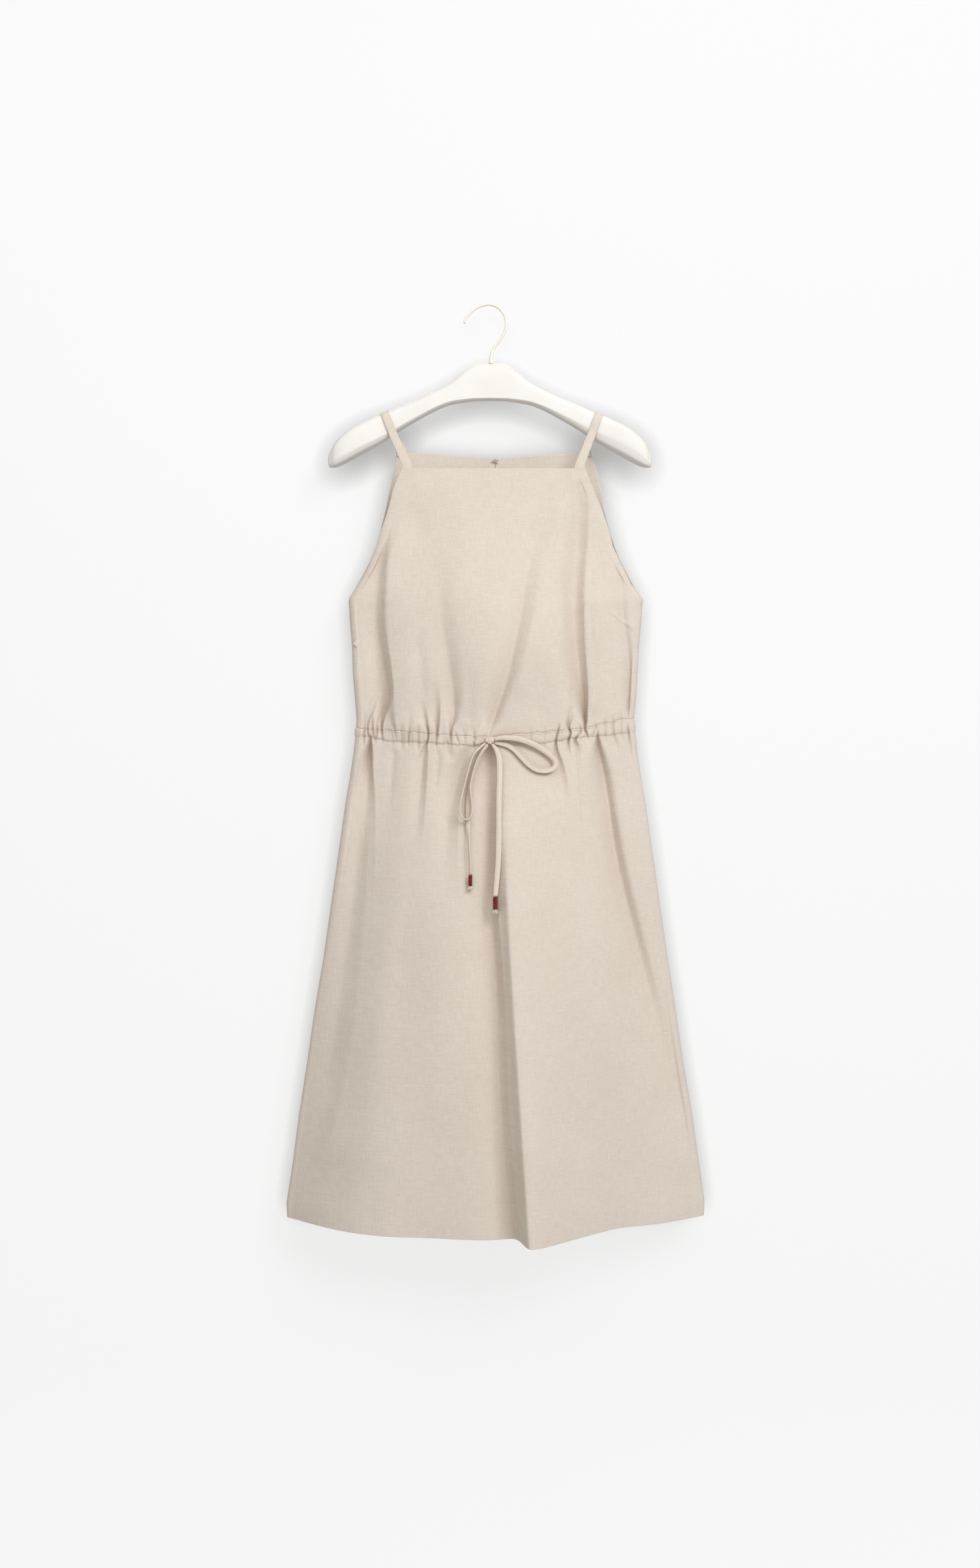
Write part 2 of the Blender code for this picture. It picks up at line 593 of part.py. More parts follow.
def tube(name, points, diameter, collection, colour, roughness, sides=2):
    """Wire: a poly curve with a round bevel and filled caps. Points may carry a radius share."""
    curve = bpy.data.curves.new(name, "CURVE")
    curve.dimensions = "3D"
    curve.bevel_depth = diameter / 2
    curve.bevel_resolution = sides
    curve.use_fill_caps = True
    line = curve.splines.new("POLY")
    line.points.add(len(points) - 1)
    for target, (position, share) in zip(line.points, points):
        target.co = (*position, 1.0)
        target.radius = share
    item = bpy.data.objects.new(name, curve)
    collection.objects.link(item)
    curve.materials.append(make_material(name, colour, roughness))
    return item


def build_hook(collection):
    route = smooth_route([(x, 0.0, drop, share) for x, drop, share in HOOK_ROUTE], HOOK_STEPS)
    points = [(Vector((x, 0.0, -drop)) * MM, share) for x, _, drop, share in route]
    tube("hanger_hook", points, HOOK_WIRE, collection, WIRE_CREAM, 0.35)


def build_strap(collection, name, front_x, top_x, back_x):
    """Folded strip from the front corner over the hanger to the back corner."""
    crown = [strap_crown_row(top_x, index) for index in STRAP_CROWN]
    points = [strap_end(FRONT, front_x, lambda x: FRONT_NECK_DROP)]
    points.append(strap_leg_row(points[0], crown[0], STRAP_BELOW_BAR))
    points += crown
    back_end = strap_end(BACK, back_x, lambda x: interpolate(BACK_NECK, x, 1))
    points.append(strap_leg_row(back_end, crown[-1], STRAP_BELOW_BAR))
    points.append(back_end)
    sheet(name, points, STRAP_WALL, collection, LINEN, 0.0)


def strap_crown_row(top_x, index):
    """Two points of the strap over one point of the bar's outline, moved out from the bar."""
    clear = SEAM_GAP * STRAP_SLACK + STRAP_WALL / 2
    points = []
    for x in (top_x - STRAP_TOP_WIDTH / 2, top_x + STRAP_TOP_WIDTH / 2):
        ring = hanger_ring(x)
        middle = (ring[3] + ring[9]) / 2
        outward = ring[index] - middle
        outward.x = 0.0
        points.append(ring[index] + outward.normalized() * clear)
    return points


def strap_leg_row(end, crown, share):
    """Two points on a leg of the strap, just below the bar, held off its face."""
    points = []
    for low, high in zip(end, crown):
        point = low.lerp(high, share)
        point.y = high.y + math.copysign(STRAP_OFF_FACE * MM, high.y)
        points.append(point)
    return points


def strap_end(side, middle, neck):
    """Two points just above the neck edge, in the middle of the cloth's wall."""
    points = []
    for x in (middle - STRAP_CORNER_WIDTH / 2, middle + STRAP_CORNER_WIDTH / 2):
        depth = side.depth(middle, neck(x), STRAP_END_SHARE) - CLOTH / MM / 2
        points.append(side.point(x, neck(x) - SEAM_GAP / MM, depth))
    return points


def ribbon(name, table, collection, steps, colour):
    """Flat tie along a route in front of the dress."""
    route = smooth_route(table, steps)
    centres = [FRONT.surface(x, drop, out + TIE_WALL / MM / 2, folds=False) for x, drop, out, _, _ in route]
    rows = []
    for index, (_, _, _, width, turn) in enumerate(route):
        ahead = centres[min(index + 1, len(centres) - 1)]
        behind = centres[max(index - 1, 0)]
        along = (ahead - behind).normalized()
        flat = along.cross(Vector((0, -1, 0))).normalized()
        edge = Matrix.Rotation(math.radians(turn), 3, along) @ flat
        rows.append([centres[index] - edge * width * MM / 2, centres[index] + edge * width * MM / 2])
    sheet(name, rows, TIE_WALL, collection, colour, 0.0)


def build_knot(collection):
    x, drop, out = KNOT_CENTRE
    bpy.ops.mesh.primitive_uv_sphere_add(segments=16, ring_count=10, radius=0.5)
    knot = bpy.context.object
    knot.name = "tie_knot"
    knot.data.name = "tie_knot"
    knot.data.transform(Matrix.Diagonal((KNOT_SIZE[0] * MM, KNOT_SIZE[2] * MM, KNOT_SIZE[1] * MM, 1.0)))
    knot.location = FRONT.surface(x, drop, out, folds=False)
    knot.data.materials.append(make_material("tie_knot", LINEN_TIE, 0.85))
    knot.data.shade_smooth()
    for owner in list(knot.users_collection):
        owner.objects.unlink(knot)
    collection.objects.link(knot)


def build_whipping(collection, side_name, end, length, diameter, tuft):
    """Thread wound round the end of a tie, and the frayed tuft below it."""
    x, drop, out = end[:3]
    top = FRONT.surface(x, drop, out + TIE_WALL / MM / 2, folds=False)
    tuft_start = WHIPPING_GAP + length + SEAM_GAP / MM
    pieces = (
        ("whipping_", WHIPPING_GAP, length, diameter / 2, diameter / 2, THREAD_RED),
        ("tuft_", tuft_start, tuft, diameter * TUFT_TOP, diameter * TUFT_BOTTOM, TUFT_CREAM),
    )
    for kind, start, height, radius_top, radius_bottom, colour in pieces:
        name = kind + side_name
        shape = bmesh.new()
        bmesh.ops.create_cone(
            shape, cap_ends=True, segments=WHIPPING_SIDES,
            radius1=radius_bottom * MM, radius2=radius_top * MM, depth=height * MM,
        )
        mesh = bpy.data.meshes.new(name)
        shape.to_mesh(mesh)
        shape.free()
        mesh.shade_smooth()
        item = add_object(name, mesh, collection, colour)
        item.location = top - Vector((0, 0, (start + height / 2) * MM))


def build_fastener(collection):
    """Hook and thread eye at the top of the centre-back slit, on the inside."""
    inside = CLOTH / MM
    for name, table in (("neck_eye", NECK_EYE), ("neck_hook", NECK_HOOK)):
        route = smooth_route(table, FASTENER_STEPS)
        points = []
        for x, drop, lift in route:
            depth = BACK.depth(CENTRE_BACK, drop, 0.5) - inside - lift
            points.append((Vector((CENTRE_BACK + x, depth, -drop)) * MM, 1.0))
        tube(name, points, FASTENER_WIRE, collection, THREAD_PALE, 0.5)


def main():
    clear_scene()
    dress = new_collection("linen_dress")
    build_front_bodice(dress)
    build_back_bodice(dress)
    build_casing(FRONT, "casing_front", dress)
    build_casing(BACK, "casing_back", dress)
    build_skirt(FRONT, "skirt_front", dress)
    build_skirt(BACK, "skirt_back", dress)
    build_hanger(dress)
    build_hook(dress)
    for name, front_x, top_x, back_x in STRAPS:
        build_strap(dress, name, front_x, top_x, back_x)
    ribbon("tie_stub", TIE_STUB, dress, 3, LINEN_TIE)
    ribbon("tie_loop_right", TIE_LOOP_RIGHT, dress, 30, LINEN_TIE)
    ribbon("tie_loop_left", TIE_LOOP_LEFT, dress, 34, LINEN_TIE)
    ribbon("tie_tail_left", TIE_TAIL_LEFT, dress, 16, LINEN_TIE)
    ribbon("tie_tail_right", TIE_TAIL_RIGHT, dress, 18, LINEN_TIE)
    build_knot(dress)
    for row in WHIPPINGS:
        build_whipping(dress, *row)
    build_fastener(dress)


main()
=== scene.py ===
"""Looks of a sleeveless linen dress with a drawstring waist, on a moulded hanger.

Metres, +Z up, +X to the viewer's right, front towards -Y, the origin inside the hook's bend, as
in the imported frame. Tables are in millimetres: x from the middle, drop below the origin.
"""

import json
import math
import random

import bmesh
import bpy
import numpy as np
from mathutils import Vector
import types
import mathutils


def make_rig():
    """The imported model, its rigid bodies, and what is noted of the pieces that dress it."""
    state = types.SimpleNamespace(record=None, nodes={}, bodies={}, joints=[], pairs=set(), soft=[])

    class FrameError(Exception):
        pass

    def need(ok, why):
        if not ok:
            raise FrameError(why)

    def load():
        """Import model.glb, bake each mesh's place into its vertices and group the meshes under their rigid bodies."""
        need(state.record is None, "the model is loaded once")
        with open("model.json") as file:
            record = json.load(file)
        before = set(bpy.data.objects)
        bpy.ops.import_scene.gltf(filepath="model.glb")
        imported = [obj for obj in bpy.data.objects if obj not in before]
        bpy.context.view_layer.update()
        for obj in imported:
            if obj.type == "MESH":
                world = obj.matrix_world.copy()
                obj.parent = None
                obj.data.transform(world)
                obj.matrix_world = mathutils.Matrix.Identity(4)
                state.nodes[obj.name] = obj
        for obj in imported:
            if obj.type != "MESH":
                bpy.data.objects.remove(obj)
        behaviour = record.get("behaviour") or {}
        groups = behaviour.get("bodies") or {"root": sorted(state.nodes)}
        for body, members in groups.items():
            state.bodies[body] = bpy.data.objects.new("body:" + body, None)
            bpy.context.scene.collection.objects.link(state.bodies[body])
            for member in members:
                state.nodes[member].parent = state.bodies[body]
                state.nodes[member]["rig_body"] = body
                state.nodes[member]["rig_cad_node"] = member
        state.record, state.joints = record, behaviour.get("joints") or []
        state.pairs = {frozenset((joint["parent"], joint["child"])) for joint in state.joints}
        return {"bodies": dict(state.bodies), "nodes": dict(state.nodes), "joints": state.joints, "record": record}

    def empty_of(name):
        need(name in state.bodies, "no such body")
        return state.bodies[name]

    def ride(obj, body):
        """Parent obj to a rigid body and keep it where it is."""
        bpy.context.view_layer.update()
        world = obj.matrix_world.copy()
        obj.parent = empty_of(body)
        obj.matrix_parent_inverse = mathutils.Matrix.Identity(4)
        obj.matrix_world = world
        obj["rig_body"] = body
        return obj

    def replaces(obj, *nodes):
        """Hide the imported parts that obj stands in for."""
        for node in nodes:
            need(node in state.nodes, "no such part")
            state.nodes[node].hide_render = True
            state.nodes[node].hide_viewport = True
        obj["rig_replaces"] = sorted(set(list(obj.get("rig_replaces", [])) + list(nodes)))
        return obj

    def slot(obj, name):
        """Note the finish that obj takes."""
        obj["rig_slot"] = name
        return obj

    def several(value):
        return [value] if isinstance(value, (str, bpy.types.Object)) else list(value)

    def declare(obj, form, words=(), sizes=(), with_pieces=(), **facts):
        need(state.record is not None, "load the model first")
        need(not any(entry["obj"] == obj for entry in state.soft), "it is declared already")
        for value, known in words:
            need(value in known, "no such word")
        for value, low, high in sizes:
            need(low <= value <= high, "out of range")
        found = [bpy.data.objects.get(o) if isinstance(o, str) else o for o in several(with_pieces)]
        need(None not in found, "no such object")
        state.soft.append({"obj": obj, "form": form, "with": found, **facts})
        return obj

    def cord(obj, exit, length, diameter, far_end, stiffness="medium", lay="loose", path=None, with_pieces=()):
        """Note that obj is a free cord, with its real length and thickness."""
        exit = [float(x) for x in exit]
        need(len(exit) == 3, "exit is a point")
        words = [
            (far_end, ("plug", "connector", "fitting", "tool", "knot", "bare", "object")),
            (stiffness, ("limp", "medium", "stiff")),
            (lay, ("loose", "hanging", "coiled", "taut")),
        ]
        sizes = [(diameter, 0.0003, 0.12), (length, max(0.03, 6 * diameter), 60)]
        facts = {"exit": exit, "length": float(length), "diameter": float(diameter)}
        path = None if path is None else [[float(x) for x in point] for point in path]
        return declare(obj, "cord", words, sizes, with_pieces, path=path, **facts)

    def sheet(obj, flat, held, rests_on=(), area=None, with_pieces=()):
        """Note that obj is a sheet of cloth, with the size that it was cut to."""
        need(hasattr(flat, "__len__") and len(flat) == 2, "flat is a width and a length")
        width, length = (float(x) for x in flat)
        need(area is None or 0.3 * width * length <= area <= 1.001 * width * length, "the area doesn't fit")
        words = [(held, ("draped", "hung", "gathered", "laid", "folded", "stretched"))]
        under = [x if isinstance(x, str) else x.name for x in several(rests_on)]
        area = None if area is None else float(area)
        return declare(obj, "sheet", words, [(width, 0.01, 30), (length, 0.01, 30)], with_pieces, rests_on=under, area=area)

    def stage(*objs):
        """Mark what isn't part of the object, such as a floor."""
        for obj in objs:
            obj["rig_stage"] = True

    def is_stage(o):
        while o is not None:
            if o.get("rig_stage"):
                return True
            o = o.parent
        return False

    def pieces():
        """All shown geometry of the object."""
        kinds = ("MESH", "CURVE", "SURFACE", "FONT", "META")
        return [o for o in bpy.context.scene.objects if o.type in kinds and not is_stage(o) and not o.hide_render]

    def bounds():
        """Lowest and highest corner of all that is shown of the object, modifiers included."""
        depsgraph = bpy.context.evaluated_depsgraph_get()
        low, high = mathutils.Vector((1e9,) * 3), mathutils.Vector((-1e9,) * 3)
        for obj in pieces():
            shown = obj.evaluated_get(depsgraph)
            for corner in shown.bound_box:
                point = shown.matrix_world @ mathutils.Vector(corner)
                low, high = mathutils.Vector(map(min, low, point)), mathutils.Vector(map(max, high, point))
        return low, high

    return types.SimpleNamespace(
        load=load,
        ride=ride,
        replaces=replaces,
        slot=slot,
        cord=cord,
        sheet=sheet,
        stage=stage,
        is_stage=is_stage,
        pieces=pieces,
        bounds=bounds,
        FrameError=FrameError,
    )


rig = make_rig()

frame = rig.load()
cad_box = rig.bounds()

MM = 0.001
# From x, depth and drop in millimetres to metres with +Z up
TO_METRES = np.array((1, 1, -1)) * MM
BODY = "root"
SIZE_FILE = "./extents.json"

# Camera and photo frame
PHOTO_HEIGHT = 2420
MM_PER_PIXEL = 0.88
CAMERA_DISTANCE = 2.2
CAMERA_DROP = 0.6494
SENSOR = 36.0

# Cloth walls and seams, millimetres
CLOTH = 0.9
CASING_CLOTH = 0.8
CASING_PROUD = 0.8
STRAP_WALL = 1.5
TIE_WALL = 2.2
TIE_THICK = 1.4
SEAM_GAP = 0.3
FRONT_NECK_DROP = 225
WAIST_DROP = 585
CENTRE_BACK = 7
SLIT_END_DROP = 305
SLIT_HALF_GAP = 1.3
SLIT_TAPER = 25
EDGE_FADE = 0.06
GATHER_EDGE_FADE = 0.008

# Mesh spacing: columns of a panel, close rows beside an edge, how much the next row is further
# off on the way from the waist, and the widest that rows are apart
FRONT_COLUMNS = 400
BACK_COLUMNS = 280
EDGE_ROWS = (0.0, 0.35, 0.8, 1.4, 2.2, 3.2, 4.6, 6.4)
ROW_GROWTH = 1.04
BODICE_ROW_SPACING = 5.0
SKIRT_ROW_SPACING = 9.0
FOLD_STEPS = 10
CASING_EDGE_ROWS = (0.0, 0.25, 0.6, 1.1, 1.8, 2.8)
CASING_INNER_ROWS = np.arange(4.2, 11.0, 1.3)
BODICE_FRONT_LENGTH = 358
BODICE_BACK_LENGTH = 374
SKIRT_LENGTH = 646
CASING_LENGTH = 15.0
# A panel goes this far under the casing, and is drawn in beside the seam by these depths
SEAM_LAP = 1.0
SEAM_REACH = 3.4
BODICE_SEAM_DEPTH = 1.0
SKIRT_SEAM_DEPTH = 0.35
# How deep the casing turns in at its upper and lower edge, over what length, and how far it
# stands out between them
CASING_TURN_TOP, CASING_TURN_TOP_REACH = 0.6, 0.8
CASING_TURN_BOTTOM, CASING_TURN_BOTTOM_REACH = 0.85, 3.0
CASING_PUFF = 0.35
# Rounded edge of a panel: how far it stands out, as a share of the wall
LIP = 0.4
# Columns nearer than this to the centre-back seam are left out
CENTRE_CLEAR = 2.5

# Outline from the underarm down, and at the armholes: drop, x of the left and of the right edge
OUTLINE = [
    (399, -192, 208), (412, -191, 206), (430, -190, 205), (465, -187, 202), (500, -186, 200),
    (535, -183, 198), (562, -181, 195), (588, -183, 198), (606, -185, 200), (641, -190, 205),
    (676, -196, 211), (746, -206, 221), (817, -216, 231), (887, -226, 241), (958, -238, 252),
    (1028, -248, 262), (1099, -259, 274), (1169, -268, 284), (1220, -276, 291), (1240, -275, 290),
]
FRONT_ARMHOLE = [
    (225, -118.5, 128), (250, -130, 139), (276, -136.5, 150), (292, -142, 156), (308, -148, 162),
    (325, -153.5, 166), (342, -160.5, 174), (360, -168.5, 183), (377, -178.5, 192), (399, -192, 208),
]
BACK_ARMHOLE = [
    (197, -128, 138), (215, -129.5, 144.5), (233, -133, 149), (251, -137.5, 152), (269, -141, 155),
    (287, -145, 159), (305, -149.5, 164), (323, -154.5, 169), (341, -161.5, 176), (359, -169.5, 185),
    (376, -179, 193), (399, -192, 208),
]
# x, drop of the casing's top, drop of its bottom, drop of the hem
FRONT_LINES = [
    (-290, 573, 585, 1236), (-174, 573, 586, 1239), (-135, 577, 592.5, 1240), (-86, 581, 595, 1241),
    (-5, 586.5, 600, 1242), (38, 583, 598, 1242), (74, 580, 595.5, 1242), (102, 576.5, 591, 1242),
    (131, 573, 587, 1241), (150, 568, 585.5, 1240), (165, 565, 584, 1239), (186, 560, 581, 1238),
    (300, 556, 578, 1233),
]
BACK_LINES = [
    (-290, 573, 585, 1236), (-176, 573, 586, 1236), (0, 573, 588, 1234), (195, 559, 580, 1235),
    (300, 556, 578, 1233),
]
# Upper edge of the back: x, drop
BACK_NECK = [(-130, 195), (7, 204), (140, 195)]

# Depth of the cloth: fractions of the width, then drop, depth of the edge, roundness of the side
# fold and the depth at each inner fraction
STATIONS = (0.0, 0.1, 0.2, 0.35, 0.5, 0.65, 0.8, 0.9, 1.0)
FRONT_SECTIONS = [
    (225, 21, 0.0, 0, 1, 1, 2, 1, 1, 0),
    (310, 11, 0.4, 4, 8, 13, 15, 13, 8, 4),
    (399, 0, 1.0, 8, 20, 34, 38, 35, 22, 9),
    (480, 0, 1.0, 8, 22, 39, 45, 41, 24, 9),
    (570, 0, 1.0, 6, 17, 29, 34, 30, 18, 7),
    (606, 0, 1.0, 6, 18, 30, 35, 31, 19, 7),
    (700, 0, 1.0, 10, 28, 46, 52, 48, 30, 12),
    (850, 0, 1.0, 20, 46, 66, 70, 66, 42, 20),
    (1000, 0, 1.0, 30, 60, 76, 80, 78, 46, 24),
    (1242, 0, 1.0, 44, 72, 79, 89, 90, 39, 27),
]
BACK_SECTIONS = [
    (195, 18, 0.0, 0, 0, 1, 1, 1, 0, 0),
    (310, 9, 0.4, 2, 5, 8, 9, 8, 5, 2),
    (399, 0, 1.0, 4, 9, 14, 16, 14, 9, 4),
    (480, 0, 1.0, 4, 10, 15, 17, 15, 10, 4),
    (570, 0, 1.0, 3, 8, 12, 13, 12, 8, 3),
    (606, 0, 1.0, 3, 8, 12, 14, 12, 8, 3),
    (850, 0, 1.0, 8, 16, 22, 24, 22, 16, 8),
    (1242, 0, 1.0, 12, 22, 28, 30, 28, 22, 12),
]
# Side fold: inset at an open armhole, inset where front and back meet, depth, sideways share
SIDE_FOLD = [
    (0, 0, 0.15, 1.0), (2.6, 0, 2.4, 1.0), (5, 1.2, 5.2, 0.8), (8, 3.8, 7.8, 0.4), (12, 7.6, 10, 0.0),
]

# Large folds: name, then drop and x at the top, middle and bottom, height at the top and bottom,
# reach to the left and right, length of the fade at the top and bottom
FRONT_FOLDS = [
    ("left_step", 285, -133, 417, -137, 596, -122, 5, 8, 9, 36, 60, 30),
    ("right_crest", 255, 100, 402, 93, 596, 100, 3, 3, 20, 11, 40, 18),
    ("centre_crest", 640, 16, 900, 29, 1250, 51, 6, 33, 9, 38, 90, 0),
]
BACK_FOLDS = [
    ("blade_left", 300, -95, 430, -105, 596, -112, -2, -7, 14, 12, 60, 18),
    ("blade_right", 300, 110, 430, 115, 596, 118, -2, -7, 12, 14, 60, 18),
    ("loin_left", 400, -45, 490, -48, 596, -52, -2, -6, 12, 12, 60, 18),
    ("loin_right", 400, 60, 490, 62, 596, 58, -2, -6, 12, 12, 60, 18),
]
# Gathers at the casing: x, depth, reach up, reach down, drift of the upper and the lower end
FRONT_GATHERS = [
    (-119, 1.2, 14, 16, 0, 0), (-97, 1.5, 16, 18, 0, -1), (-21, 1.6, 14, 18, -2, -3),
    (54, 1.0, 10, 12, 0, 0), (72, 0.9, 12, 10, 1, 0), (155, 1.2, 12, 16, 1, 2), (177, 1.3, 12, 14, 0, 2),
]
BACK_GATHERS = [
    (-170, 1.8, 20, 24, 2, -3), (-161, 2.4, 34, 30, 3, -2), (-147, 1.2, 14, 16, 1, 0),
    (-136, 2.2, 40, 26, 4, -2), (-124, 1.4, 16, 40, 0, -3), (-90, 2.4, 30, 46, -3, -2),
    (-77, 1.3, 14, 16, 1, 0), (-62, 2.0, 44, 22, 2, 1), (-45, 1.2, 16, 30, -1, -2),
    (-12, 1.5, 14, 22, 0, 1), (24, 1.2, 18, 16, 1, 1), (40, 2.3, 40, 34, -3, 2), (78, 1.6, 16, 40, 1, 2),
    (92, 2.4, 44, 24, 3, 1), (104, 1.2, 14, 18, -1, 0), (119, 2.0, 26, 44, -2, 3),
    (150, 2.2, 36, 26, -1, 2), (161, 1.3, 14, 20, 1, 2), (174, 2.0, 24, 30, 2, 4), (184, 1.3, 14, 18, 0, 3),
]
